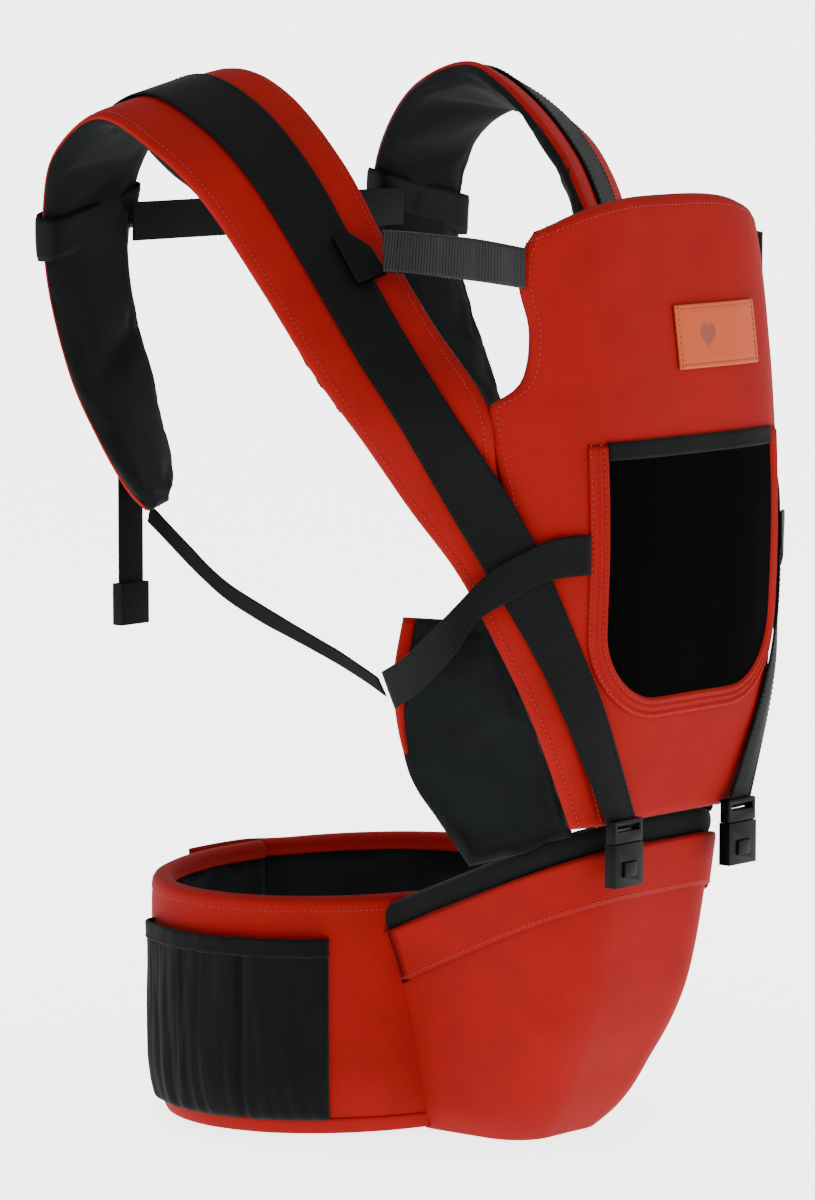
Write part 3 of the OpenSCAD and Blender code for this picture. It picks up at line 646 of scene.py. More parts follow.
class Stitcher:
    """Sews rows of stitches along lines, with one Geometry Nodes tree for every thread."""

    PITCH = 3.6
    LENGTH = 2.6
    THREAD = 0.9

    def __init__(self) -> None:
        """Builds the tree once, and starts with no lines."""
        self.lines: dict[tuple[str, str], list[np.ndarray]] = {}
        self.sockets: dict[str, str] = {}
        self.tree = self._tree()

    def _tree(self) -> bpy.types.NodeTree:
        """The tree: each line is stepped by the pitch, and each step holds one stitch."""
        tree = bpy.data.node_groups.new("stitch_rows", "GeometryNodeTree")
        tree.interface.new_socket("Geometry", in_out="INPUT", socket_type="NodeSocketGeometry")
        for label, kind, value in (("Pitch", "NodeSocketFloat", self.PITCH * MM),
                                   ("Stitch Length", "NodeSocketFloat", self.LENGTH * MM),
                                   ("Thread Width", "NodeSocketFloat", self.THREAD * MM),
                                   ("Thread", "NodeSocketMaterial", None)):
            socket = tree.interface.new_socket(label, in_out="INPUT", socket_type=kind)
            self.sockets[label] = socket.identifier
            if value is not None:
                socket.default_value = value
        tree.interface.new_socket("Geometry", in_out="OUTPUT", socket_type="NodeSocketGeometry")
        start = add_node(tree, "NodeGroupInput")
        path = add_node(tree, "GeometryNodeMeshToCurve", links={0: start.outputs["Geometry"]})
        stepped = add_node(tree, "GeometryNodeResampleCurve", links={"Curve": path.outputs[0]}, mode="LENGTH")
        tree.links.new(start.outputs["Pitch"], stepped.inputs["Length"])
        tangent = add_node(tree, "GeometryNodeInputTangent")
        turn = add_node(tree, "FunctionNodeAlignRotationToVector", links={"Vector": tangent.outputs[0]}, axis="X")
        stitch = add_node(tree, "GeometryNodeMeshUVSphere", {"Segments": 6, "Rings": 4, "Radius": 0.5})
        size = add_node(tree, "ShaderNodeCombineXYZ", links={
            0: start.outputs["Stitch Length"], 1: start.outputs["Thread Width"], 2: start.outputs["Thread Width"]})
        sewn = add_node(tree, "GeometryNodeInstanceOnPoints", links={
            "Points": stepped.outputs[0], "Instance": stitch.outputs[0], "Rotation": turn.outputs[0],
            "Scale": size.outputs[0]})
        real = add_node(tree, "GeometryNodeRealizeInstances", links={0: sewn.outputs[0]})
        thread = add_node(tree, "GeometryNodeSetMaterial", links={
            "Geometry": real.outputs[0], "Material": start.outputs["Thread"]})
        add_node(tree, "NodeGroupOutput", links={0: thread.outputs[0]})
        return tree

    def row(self, body: str, thread: SolidFinish, line: np.ndarray) -> None:
        """Notes a row of stitches.

        Args:
            body: The CAD body that the stitched pieces ride on.
            thread: The thread's finish.
            line: The points of the row, in metres.
        """
        self.lines.setdefault((body, thread.name), []).append(line)

    def sew(self) -> None:
        """Makes every noted row, one piece for each body and thread."""
        for (body, thread), rows in self.lines.items():
            verts, edges = [], []
            for row in rows:
                edges += [(len(verts) + i, len(verts) + i + 1) for i in range(len(row) - 1)]
                verts += [tuple(p) for p in row]
            mesh = bpy.data.meshes.new("rows")
            mesh.from_pydata(verts, edges, [])
            guide = bpy.data.objects.new("rows", mesh)
            bpy.context.scene.collection.objects.link(guide)
            modifier = guide.modifiers.new("stitches", "NODES")
            modifier.node_group = self.tree
            modifier[self.sockets["Thread"]] = MATERIALS[thread]
            cooked = guide.evaluated_get(bpy.context.evaluated_depsgraph_get())
            made = bpy.data.meshes.new_from_object(cooked)
            guide.modifiers.clear()
            bpy.data.objects.remove(guide)
            made.materials.clear()
            made.materials.append(MATERIALS[thread])
            made.shade_smooth()
            obj = bpy.data.objects.new(f"stitches_{thread}_{body}", made)
            bpy.context.scene.collection.objects.link(obj)
            wear(obj, body, ())


# ---------------------------------------------------------------- the carrier's parts


@dataclass
class ShoulderStraps:
    """The two padded shoulder straps and the load webbing sewn on their outer faces."""

    stitcher: Stitcher
    body: str = "carrier"
    # Pairs of [outer edge, inner edge] of the right strap, from the seat buckle over to the back
    ribs: tuple = (
        ((-90, -104, 215), (-62, -110.5, 214)),
        ((-118, -95, 283), (-92.5, -112.5, 285)),
        ((-134, -80, 328), (-112.5, -104, 333)),
        ((-148, -58, 375), (-127.5, -91, 378)),
        ((-162, -30, 415), (-135, -80, 430)),
        ((-173, -2, 455), (-138, -72, 481)),
        ((-182, 28, 497), (-118, -13, 529)),
        ((-190, 64, 550), (-106, 31, 572)),
        ((-204, 98, 602), (-108, 67, 625)),
        ((-212, 132, 633), (-108, 114, 668)),
        ((-211, 184, 655), (-113, 157, 683)),
        ((-208, 226, 632), (-115, 208, 663)),
        ((-206, 240, 597), (-120, 242, 617)),
        ((-203, 240, 545), (-124, 248, 565)),
        ((-202, 222, 487), (-122, 242, 515)),
        ((-199, 200, 446), (-121, 226, 462)),
        ((-190, 184, 415), (-127, 210, 423)),
        ((-172, 182, 399), (-148, 195, 402)),
    )
    # [outer edge, middle, inner edge] of the webbing where it crosses the panel
    web_low: tuple = (
        ((-71, -115, 214), (-58, -116.5, 214), (-45, -117, 214)),
        ((-105, -107, 287), (-92, -115.5, 287), (-79, -119.5, 288)),
        ((-121, -96, 327), (-112, -105.5, 332), (-100, -114, 335)),
        ((-139, -76, 374), (-128, -93, 378), (-117, -103, 381)),
        ((-151, -54, 415), (-142, -70, 420), (-133, -88, 424)),
    )
    web_from: int = 5
    web_to: int = 16
    web_shares: tuple[float, ...] = (0.33, 0.54, 0.75)
    web_t: float = 1.6
    web_depth: float = -0.7
    thickness: float = 13.3
    seam_depth: float = 4.6
    step: float = 5.0
    columns: int = 27

    def surface(self) -> Surface:
        """The outer face of the right strap."""
        return Surface.through(self.ribs, self.step, edge_shares(self.columns))

    def webbing_surface(self) -> Surface:
        """The face that the right strap's load webbing lies on."""
        high = []
        for outer, inner in self.ribs[self.web_from : self.web_to + 1]:
            a, b = np.array(outer, float), np.array(inner, float)
            high.append([a + (b - a) * share for share in self.web_shares])
        ribs = np.concatenate([np.array(self.web_low, float), np.array(high)])
        return Surface.through(ribs, 4.0, edge_shares(13, 0.8))

    def build(self) -> None:
        """Makes both straps."""
        for side in Side:
            surface = self.surface().on(side)
            waves = 0.5 * ripple(surface.points, 60, 3.0)
            cover = Pad(f"strap_cover_cloth_{side.value}", surface, 0.3 + waves, self.seam_depth,
                        self.seam_depth, RED_POLYESTER, 9.0, 1.0, grooves=((7.0, 0.7, 1.6),))
            lining = Pad(f"strap_lining_cloth_{side.value}", surface, self.thickness + waves,
                         self.seam_depth + 0.3, self.seam_depth + 0.2, BLACK_KNIT, 11.0, 1.0,
                         grooves=((7.0, 1.0, 2.0),))
            lining.fill(1.5, 0.02, 3.0)
            name = side.value
            wear(cover.obj, self.body, (f"strap_cover_{name}", f"strap_foam_{name}"))
            wear(lining.obj, self.body, (f"strap_lining_{name}",))
            for edge in ("first", "last"):
                self.stitcher.row(self.body, RED_THREAD, cover.face_surface().line_in(7.5, edge))
            self.load_webbing(side)

    def load_webbing(self, side: Side) -> None:
        """Makes one side's load webbing, with a row of stitches along each edge."""
        surface = self.webbing_surface().on(side)
        tape = webbing(f"strap_webbing_tape_{side.value}", surface, self.web_depth, self.web_depth - self.web_t,
                       BLACK_WEBBING, 0.25 * ripple(surface.points, 25, 8.0))
        outer = Surface(tape.surface.lifted(self.web_depth - self.web_t).points)
        for edge in ("first", "last"):
            self.stitcher.row(self.body, BLACK_THREAD, outer.line_in(2.4, edge))
        wear(tape.obj, self.body, (f"strap_webbing_{side.value}",))


@dataclass
class BackPanel:
    """The stitched back panel with its mesh window, label and lining."""

    stitcher: Stitcher
    body: str = "carrier"
    outline: tuple[tuple[float, float], ...] = (
        (215, 60), (240, 75), (285, 92), (333, 112), (378, 127), (430, 134.5), (468, 138),
        (480, 137), (485, 131), (493, 125), (507, 121), (528, 119), (548, 121), (562, 121),
    )
    top: float = 606.0
    top_half_w: float = 119.0
    top_drop: float = 26.0
    thickness: float = 9.0
    seam_depth: float = 4.4
    columns: int = 61
    window_half_w: float = 82.0
    window_low: float = 294.0
    window_high: float = 455.0
    window_r: float = 46.0
    frame_w: float = 12.0
    hem_h: float = 10.0
    label_at: tuple[float, float] = (27.0, 517.0)
    label_size: tuple[float, float] = (84.0, 40.0)

    @staticmethod
    def point(x: float, z: float) -> tuple[float, float, float]:
        """The point of the panel's face at a place across it and a height, in millimetres."""
        bow = 22 if z > 400 else 20
        return x, -130 + bow * ((z - 400) / 200) ** 2 + 15 * (x / 100) ** 4, z

    def edge_height(self, x: float) -> float:
        """The height of the top edge at a place across it."""
        return self.top - self.top_drop * (abs(x) / self.top_half_w) ** 3

    def surface(self) -> Surface:
        """The outer face of the whole panel."""
        shares = np.linspace(-1, 1, 17)
        ribs = [[self.point(half * s, z) for s in shares] for z, half in self.outline]
        last = self.outline[-1][0]
        for inset, lift in ((1, 0.6), (9, 1.0)):
            xs = (self.top_half_w - inset) * shares
            ribs.append([self.point(x, last + (self.edge_height(x) - last) * lift) for x in xs])
        return Surface.through(ribs, 5.0, edge_shares(self.columns, 0.35))

    def build(self) -> None:
        """Makes the panel and all that is sewn on it."""
        surface = self.surface()
        waves = 0.9 * ripple(surface.points, 85, 1.0) + 0.3 * ripple(surface.points, 28, 2.0)
        cover = Pad("panel_cover_cloth", surface, waves, self.seam_depth, self.seam_depth, RED_POLYESTER,
                    8.0, 1.0, grooves=((8.0, 0.5, 1.4),))
        lining = Pad("panel_lining_cloth", surface, self.thickness + waves, self.seam_depth + 0.3,
                     self.seam_depth + 0.2, BLACK_KNIT, 9.0, 1.0, grooves=((10.0, 0.8, 2.0),))
        lining.fill(1.0, 0.015, 2.5)
        wear(cover.obj, self.body, ("panel_outer", "panel_foam"))
        wear(lining.obj, self.body, ("panel_lining",))
        for edge in ("first", "last", "end"):
            self.stitcher.row(self.body, RED_THREAD, cover.face_surface().line_in(8.6, edge))
        self.window()
        self.label()

    def u_path(self, off: float) -> list[tuple[float, float]]:
        """The window's U-shaped outline, moved outwards by `off`, from one top corner to the other."""
        left = [(-self.window_half_w - off, z) for z in np.linspace(self.window_high, 380, 5)]
        turn = self.window_half_w - self.window_r
        centre_z = self.window_low + self.window_r
        corner = [(-turn + (self.window_r + off) * math.cos(a), centre_z + (self.window_r + off) * math.sin(a))
                  for a in np.radians(np.arange(180, 271, 10))]
        half = left + corner + [(-turn / 2, self.window_low - off)]
        return half + [(0.0, self.window_low - off)] + [(-x, z) for x, z in reversed(half)]

    def window_half(self, z: float) -> float:
        """Half of the window's width at a height."""
        centre_z = self.window_low + self.window_r
        if z >= centre_z:
            return self.window_half_w
        reach = math.sqrt(max(0.0, self.window_r**2 - (centre_z - z) ** 2))
        return self.window_half_w - self.window_r + reach

    def window(self) -> None:
        """Makes the mesh, the folded frame round it and the hem at its top."""
        heights = self.window_low + (self.window_high - self.window_low) * edge_shares(40, 0.7)
        ribs = [[self.point((self.window_half(z) + 1) * s, z) for s in np.linspace(-1, 1, 9)] for z in heights]
        net = Surface.through(ribs, 5.0, edge_shares(41, 0.4))
        sag = 0.5 * ripple(net.points, 50, 5.0)
        mesh = Pad("window_mesh_cloth", net, -1.5 + sag, -0.4 + sag, -0.9 + sag, SPACER_MESH, 3.0, 3.0)
        wear(mesh.obj, self.body, ("window_mesh",))
        rows = [[self.point(*a), self.point(*b)] for a, b in zip(self.u_path(-1.0), self.u_path(self.frame_w))]
        band = Surface.through(rows, 4.0, edge_shares(25, 0.5))
        across = band.spans()[1] / MM
        folds = 0.55 * np.cos(across / (self.frame_w + 1) * 6 * math.pi) - 0.25 * ripple(band.points, 18, 6.0)
        fold = Pad("window_frame_cloth", band, -2.6 + folds, -0.4, -1.0, RED_POLYESTER, 1.6, 1.0)
        wear(fold.obj, self.body, ("window_frame",))
        self.stitcher.row(self.body, RED_THREAD, fold.face_surface().line_in(5.0, "first"))
        self.stitcher.row(self.body, RED_THREAD, fold.face_surface().line_in(2.0, "last"))
        low, high = self.window_high - self.hem_h, self.window_high + 1.5
        ribs = [[self.point(x, z) for x in np.linspace(-self.window_half_w, self.window_half_w, 9)]
                for z in (low, (low + high) / 2, high)]
        top = Surface.through(ribs, 2.0, edge_shares(41, 0.4))
        hem = Pad("window_hem_cloth", top, -2.6 + 0.4 * ripple(top.points, 22, 7.0), -1.2, -1.8,
                  POCKET_STRETCH, 1.6, 1.0)
        wear(hem.obj, self.body, ("window_hem",))
        self.stitcher.row(self.body, BLACK_THREAD, hem.face_surface().line_in(2.5, "start"))

    def heart_depth(self, surface: Surface) -> np.ndarray:
        """How far the pressed heart sinks at each point of the label, in millimetres."""
        middle_x = (self.label_at[0] - 0.14 * self.label_size[0]) * MM
        x = (surface.points[..., 0] - middle_x) / (7.0 * MM)
        z = (surface.points[..., 2] - (self.label_at[1] - 0.5) * MM) / (7.0 * MM)
        inside = (x**2 + z**2 - 0.8) ** 3 - x**2 * z**3
        return 0.45 / (1 + np.exp(np.clip(inside * 30, -40, 40)))

    def label(self) -> None:
        """Makes the tan patch with a pressed heart and its stitched border."""
        (x, z), (w, h) = self.label_at, self.label_size
        ribs = [[self.point(x + a * w, z + b * h) for a in (-0.5, -0.25, 0, 0.25, 0.5)]
                for b in (-0.5, -0.25, 0, 0.25, 0.5)]
        surface = Surface.through(ribs, 0.9, edge_shares(95, 0.15))
        sink = self.heart_depth(surface)
        curl = 0.35 * ripple(surface.points, 30, 9.0)
        patch = Pad("label_patch_leather", surface, -2.3 + sink + curl, -0.7 + curl, -1.4 + curl, TAN_PATCH,
                    0.9, 0.5, grooves=((3.2, 0.25, 0.9),))
        patch.obj.data.materials.append(MATERIALS[PRESSED_PATCH.name])
        deep = (sink[:-1, :-1] > 0.2).ravel()
        pressed = np.zeros(len(patch.obj.data.polygons), np.int32)
        pressed[: len(deep)] = deep
        patch.obj.data.polygons.foreach_set("material_index", pressed)
        wear(patch.obj, self.body, ("label_patch",))
        for edge in ("first", "last", "start", "end"):
            line = patch.face_surface().line_in(3.2, edge)
            trim = 3 if edge in ("first", "last") else 5
            self.stitcher.row(self.body, TAN_THREAD, line[trim:-trim])


@dataclass
class Wings:
    """The padded side wings and their red rear binding."""

    stitcher: Stitcher
    body: str = "carrier"
    ribs: tuple = (
        ((-121, -62, 347), (-117, -34, 343), (-131, -8, 344)),
        ((-107, -76, 302), (-112, -42, 300), (-138, -6, 300)),
        ((-89, -86, 256), (-104, -50, 252), (-133, -8, 246)),
        ((-72, -88, 206), (-87, -64, 196), (-112, -38, 188)),
    )
    thickness: float = 8.0
    bind_w: float = 7.0
    # Where the binding starts to narrow and where it ends, as shares of the rear edge
    bind_shares: tuple[float, float] = (0.3, 0.56)

    def build(self) -> None:
        """Makes both wings and bindings."""
        strips = []
        for side in Side:
            surface = Surface.through(self.ribs, 4.0, edge_shares(27, 0.4)).on(side)
            waves = 0.6 * ripple(surface.points, 40, 11.0)
            wing = Pad(f"wing_pad_{side.value}", surface, -0.5 + waves, self.thickness + 0.5 + waves,
                       self.thickness / 2, BLACK_KNIT, 8.0, 8.0, grooves=((9.0, 0.9, 2.0),))
            wing.fill(2.0, 0.03, 4.0)
            wear(wing.obj, self.body, (f"wing_{side.value}",))
            strips.append(self.binding(side))
        joined = join("wing_binding_cloth", strips)
        wear(joined, self.body, ("wing_bindings",))

    def binding(self, side: Side) -> bpy.types.Object:
        """Makes one wing's rear binding."""
        fine = Surface.through(self.ribs, 4.0, np.linspace(0, 1, 9)).points / MM
        out = fine[:, -1] - fine[:, -2]
        out /= np.linalg.norm(out, axis=1, keepdims=True)
        share = np.linspace(0, 1, len(fine))
        bound = share <= self.bind_shares[1]
        width = np.interp(share, self.bind_shares, (self.bind_w, 1.0))[:, None]
        rows = np.stack([fine[:, -1] - 2.0 * out, fine[:, -1] + width * out], axis=1)[bound]
        strip = Surface(curve_through(rows.transpose(1, 0, 2), edge_shares(9, 0.5)).transpose(1, 0, 2) * MM)
        return Pad(f"binding_{side.value}", strip.on(side), -1.4, self.thickness + 1.4, self.thickness / 2,
                   RED_POLYESTER, 4.0, 4.0).obj


def join(name: str, objects: list[bpy.types.Object]) -> bpy.types.Object:
    """Joins meshes that make up one piece.

    Args:
        name: The piece's name.
        objects: The meshes; they share one finish.

    Returns:
        The joined object.
    """
    merged = bmesh.new()
    for obj in objects:
        merged.from_mesh(obj.data)
    mesh = objects[0].data.copy()
    merged.to_mesh(mesh)
    merged.free()
    mesh.name = name
    mesh.shade_smooth()
    for obj in objects:
        bpy.data.objects.remove(obj)
    whole = bpy.data.objects.new(name, mesh)
    bpy.context.scene.collection.objects.link(whole)
    return whole


@dataclass
class WaistBelt:
    """The padded waist belt: cover, lining, rolled rims and elastic pocket."""

    stitcher: Stitcher
    body: str = "hip_seat"
    half_w: float = 152.0
    half_d: float = 120.0
    centre_y: float = 152.0
    height: float = 157.0
    thickness: float = 14.0
    seam_depth: float = -6.0
    lap: float = 11.0
    lap_rise: float = 6.8
    taper_h: float = 45.0
    taper: float = 0.085
    fold_h: float = 13.0
    pocket_angles: tuple[float, float] = (150.0, 220.0)
    pocket_heights: tuple[float, float] = (12.0, 131.0)
    pocket_room: float = 6.0

    def size_at(self, z: float) -> float:
        """The belt's size at a height, as a share of its full size."""
        return 1 - self.taper * max(0.0, (self.taper_h - z) / self.taper_h) ** 2

    def lift(self, angle: float) -> float:
        """How far the outer lap stands out at an angle."""
        end = 450 + self.lap
        if angle < end - 3 * self.lap:
            return 0.0
        share = min(1.0, (angle - end + 3 * self.lap) / self.lap)
        return self.lap_rise * (1 - math.cos(math.pi * share)) / 2

    def point(self, angle: float, z: float, out: float = 0.0) -> tuple[float, float, float]:
        """The point on the belt's outer face at an angle and a height, moved out by `out`."""
        a, extra = math.radians(angle), self.lift(angle) + out
        size = self.size_at(z)
        return ((self.half_w * size + extra) * math.cos(a),
                self.centre_y + (self.half_d * size + extra) * math.sin(a), z)

    def surface(self, angles: tuple[float, float], heights: tuple[float, float], step: float,
                shares: np.ndarray) -> Surface:
        """A stretch of the belt's outer face.

        Args:
            angles: Where it starts and ends, in degrees.
            heights: Its lower and upper height.
            step: The spacing along the belt in millimetres.
            shares: Where the columns lie up the height.

        Returns:
            The surface, with its normals pointing outwards.
        """
        count = max(2, round(math.radians(angles[1] - angles[0]) * self.half_w / step))
        zs = heights[0] + (heights[1] - heights[0]) * shares
        grid = [[self.point(a, z) for z in zs] for a in np.linspace(*angles, count + 1)]
        return Surface(np.array(grid) * MM)

    def build(self) -> None:
        """Makes the belt and all that is sewn on it."""
        start, end, inner_end = 90 - self.lap, 450 + self.lap, 450 - self.lap - 2
        whole = self.surface((start, end), (0, self.height), 5.0, edge_shares(37, 0.6))
        angles = np.linspace(start, end, whole.points.shape[0])[:, None]
        tongue = np.clip((angles - inner_end + 2) / 6, 0, 1)
        waves = 0.8 * ripple(whole.points, 70, 13.0)
        seam = self.seam_depth * (1 - tongue) - 0.9 * tongue
        cover = Pad("belt_cover_cloth", whole, waves * (1 - tongue), seam - 0.8, seam, RED_POLYESTER, 7.0, 1.0,
                    grooves=((11.0, 0.6, 1.8),))
        wear(cover.obj, self.body, ("belt_cover", "belt_foam", "belt_stiffener"))
        for edge in ("first", "last"):
            self.stitcher.row(self.body, RED_THREAD, cover.face_surface().line_in(12.0, edge))
        ring = (start - 1, inner_end + 2)
        inside = self.surface(ring, (0.5, self.height - self.fold_h + 3), 5.0, edge_shares(33, 0.5))
        pads = 0.8 * ripple(inside.points, 60, 17.0)
        lining = Pad("belt_lining_cloth", inside, -self.thickness + 0.3 + pads, self.seam_depth - 1.0,
                     self.seam_depth - 1.4, BLACK_KNIT, 9.0, 1.0)
        lining.fill(1.5, 0.02, 3.0)
        wear(lining.obj, self.body, ("belt_lining",))
        rim = self.surface(ring, (self.height - self.fold_h, self.height), 4.0, edge_shares(15, 0.5))
        hem = 0.25 * ripple(rim.points, 20, 19.0)
        binding = Pad("belt_rim_binding", rim, -self.thickness - 0.8 + hem, self.seam_depth + 0.4,
                      self.seam_depth, RED_POLYESTER, 6.5, 3.0)
        wear(binding.obj, self.body, ("belt_top_binding",))
        self.stitcher.row(self.body, RED_THREAD, binding.face_surface().line_in(3.0, "first"))
        self.foot_binding()
        self.pocket()

    def foot_binding(self) -> None:
        """Makes the narrow binding round the belt's lower edge."""
        strip = self.surface((118, 250), (2, 13), 4.0, edge_shares(9, 0.6))
        lift = 0.2 * ripple(strip.points, 20, 21.0)
        binding = Pad("belt_foot_binding", strip, 1.3 + lift, -1.0, 0.0, RED_POLYESTER, 2.2, 1.0)
        wear(binding.obj, self.body, ("belt_bottom_binding",))

    def pocket(self) -> None:
        """Makes the gathered elastic pocket with its hem."""
        low, high = self.pocket_heights
        face = self.surface(self.pocket_angles, (low, high), 1.6, edge_shares(45, 0.3))
        along, across = (span / MM for span in face.spans())
        side = np.minimum(along, along[-1:] - along)
        stand = np.minimum(side, across)
        reach = np.sqrt(1 - (1 - np.clip(stand / 9, 0, 1)) ** 2)
        up = across / across[:, -1:]
        waves = np.array([[noise.noise(Vector((x / 7.5, z / 60, 4.0))) for x, z in zip(xs, zs)]
                          for xs, zs in zip(along, across)])
        fine = np.array([[noise.noise(Vector((x / 2.6, z / 45, 9.0))) for x, z in zip(xs, zs)]
                         for xs, zs in zip(along, across)])
        tuck = 4.2 * np.exp(-(((along - 0.63 * along[-1:]) / 2.6) ** 2)) * (0.75 + 0.25 * up)
        gather = (1.7 * waves + 0.8 * fine) * np.clip(stand / 6, 0, 1)
        out = (self.pocket_room + 1.0) * reach + gather - tuck * reach
        panel = Pad("pocket_panel_cloth", face, out, out - 1.3, out - 0.6, POCKET_STRETCH, 1.0, 1.0)
        wear(panel.obj, self.body, ("pocket_panel",))
        rim = self.surface(self.pocket_angles, (high - 12, high), 2.4, edge_shares(9, 0.5))
        at = rim.spans()[0] / MM
        side = np.minimum(at, at[-1:] - at)
        lift = (self.pocket_room + 1.0) * np.sqrt(1 - (1 - np.clip(side / 9, 0, 1)) ** 2)
        lift = lift + 0.7 * ripple(rim.points, 9, 23.0)
        hem = Pad("pocket_hem_cloth", rim, lift + 1.2, lift - 0.8, lift + 0.2, POCKET_STRETCH, 1.6, 1.0)
        wear(hem.obj, self.body, ("pocket_hem",))
        self.stitcher.row(self.body, BLACK_THREAD, hem.face_surface().line_in(2.2, "first"))


@dataclass
class Seat:
    """The wedge-shaped foam seat: its cover, the flap round its top and the black top pad."""

    stitcher: Stitcher
    belt: WaistBelt
    body: str = "hip_seat"
    front_h: float = 214.0
    rear_h: float = 154.0
    front_y: float = -100.0
    rear_y: float = 43.0
    half_w: float = 86.0
    top_r: float = 50.0
    pad_t: float = 16.0
    flap_h: float = 35.0
    skin: float = 1.5
    # Outlines below the top, from the foot up, as (height, front edge, half width, corner radius)
    levels: tuple = ((0, -24, 45, 26), (16, -40, 56, 32), (42, -57, 63, 36), (100, -84, 75, 40))

    def plane_height(self, y: float) -> float:
        """The height of the pad's top face at a distance back."""
        slope = (self.front_h - self.rear_h) / (self.rear_y - self.front_y)
        return self.rear_h + slope * (self.rear_y - y)

    def outline(self, front: float, half: float, radius: float, height: object, grow: float) -> np.ndarray:
        """A closed outline round the seat, from the belt on the right, past the front, to the left.

        Args:
            front: Where its front edge is.
            half: Half of its width.
            radius: The radius of its front corners.
            height: Its height, or a function of the distance back.
            grow: How far it is moved outwards.

        Returns:
            The points, with the last 16 along the belt.
        """
        half, front, radius = half + grow, front - grow, radius + grow
        level = height if callable(height) else (lambda _y: height)
        z = level(20.0)
        size = self.belt.size_at(z)
        reach = math.sqrt(max(0.0, 1 - (half / (self.belt.half_w * size)) ** 2))
        back = self.belt.centre_y - self.belt.half_d * size * reach + 5
        side = [(-half, y) for y in np.linspace(back, front + radius, 14)[:-1]]
        corner = [(-half + radius - radius * math.cos(a), front + radius - radius * math.sin(a))
                  for a in np.linspace(0, math.pi / 2, 15)]
        across = [(x, front) for x in np.linspace(-half + radius, 0, 8)[1:]]
        right = side + corner + across
        plan = right + [(-x, y) for x, y in reversed(right[:-1])]
        inner = self.belt.half_d * size
        for x in np.linspace(half, -half, 18)[1:-1]:
            y = self.belt.centre_y - inner * math.sqrt(1 - (x / (self.belt.half_w * size)) ** 2) + 5
            plan.append((x, y))
        return np.array([(x, y, level(y)) for x, y in plan])

    def rings(self, grow: float) -> np.ndarray:
        """The seat's outlines from the foot to the rim under the pad, `grow` outside its foam."""
        rings = [self.outline(front, half, r, z, grow) for z, front, half, r in self.levels]
        rings.append(self.outline(self.front_y, self.half_w, self.top_r,
                                  lambda y: self.plane_height(y) - self.pad_t, grow))
        return np.array(rings)

    def build(self) -> None:
        """Makes the seat."""
        rings = self.rings(self.skin)
        middle = rings[:, 30]
        wall = curve_through(rings, steps_along(middle, 5.0))
        foot = self.to_centre(wall[0], np.array([0.0, 0.0, 0.0]))
        head = self.to_centre(wall[-1], np.array([0.0, -20.0, self.plane_height(-20.0) - self.pad_t]))
        shape = np.concatenate([foot[:-1], wall, head[::-1][1:]]) * MM
        self.closed("seat_cover_cloth", shape, RED_POLYESTER, ("seat_cover", "seat_core"),
                    1.2, 31.0)
        self.flap(wall)
        self.top_pad()

    @staticmethod
    def to_centre(ring: np.ndarray, centre: np.ndarray) -> np.ndarray:
        """Rings that close an opening, from near its centre out to its edge."""
        shares = (0.02, 0.3, 0.6, 0.85, 0.96, 1.0)
        return np.array([centre + (ring - centre) * s for s in shares])

    def closed(self, name: str, rings: np.ndarray, finish: Fabric, nodes: tuple[str, ...],
               wave: float, seed: float) -> bpy.types.Object:
        """Makes a closed padded form from rings of points.

        Args:
            name: The piece's name.
            rings: Rings in metres, from one pole to the other.
            finish: The textile.
            nodes: The CAD nodes that it stands for.
            wave: The height of its soft waves in millimetres.
            seed: The waves' own shift.

        Returns:
            The piece.
        """
        rows, cols = rings.shape[:2]
        looped = np.concatenate([rings[:, -1:], rings, rings[:, :1]], axis=1)
        normals = Surface(looped).normals()[:, 1:-1]
        out = rings + normals * (wave * MM * ripple(rings, 70, seed))[..., None]
        faces = []
        for i in range(rows - 1):
            for j in range(cols):
                k = (j + 1) % cols
                faces.append([i * cols + j, i * cols + k, (i + 1) * cols + k, (i + 1) * cols + j])
        faces += [list(range(cols)), list(range((rows - 1) * cols, rows * cols))]
        wrapped = np.concatenate([rings, rings[:, :1]], axis=1)
        along, across = Surface(wrapped).spans()
        uv = np.stack([across[:, :-1], along[:, :-1]], axis=2).reshape(-1, 2)
        obj = make_object(name, out.reshape(-1, 3), faces, MATERIALS[finish.name], uv)
        return wear(obj, self.body, nodes)

    def flap(self, wall: np.ndarray) -> None:
        """Makes the flap that hangs round the seat's top, outside the cover."""
        visible = wall[:, : -16]
        top = visible[-1]
        rows = []
        for share in np.linspace(0, 1, 13):
            drop = self.flap_h * share
            row = []
            for j in range(visible.shape[1]):
                column = visible[:, j]
                height = top[j, 2] - drop
                row.append([np.interp(height, column[:, 2], column[:, k]) for k in range(3)])
            rows.append(row)
        surface = Surface(np.array(rows)[:, 1:-1] * MM)
        along, _ = (span / MM for span in surface.spans())
        flare = 0.3 * (along / self.flap_h) + 0.4 * ripple(surface.points, 45, 37.0)
        out = self._outwards(surface)
        flap = Pad("seat_flap_cloth", surface, out * (2.3 + flare), out * (0.6 + flare), out * (1.5 + flare),
                   RED_POLYESTER, 2.2, 1.0)
        wear(flap.obj, self.body, ("seat_flap",))
        self.stitcher.row(self.body, RED_THREAD, flap.face_surface().line_in(3.5, "end"))

    @staticmethod
    def _outwards(surface: Surface) -> float:
        """1 where a surface's normals point away from the seat's middle, and -1 where not."""
        normals = surface.normals()
        middle = surface.points.shape[1] // 2
        return 1.0 if normals[3, middle, 1] < 0 else -1.0

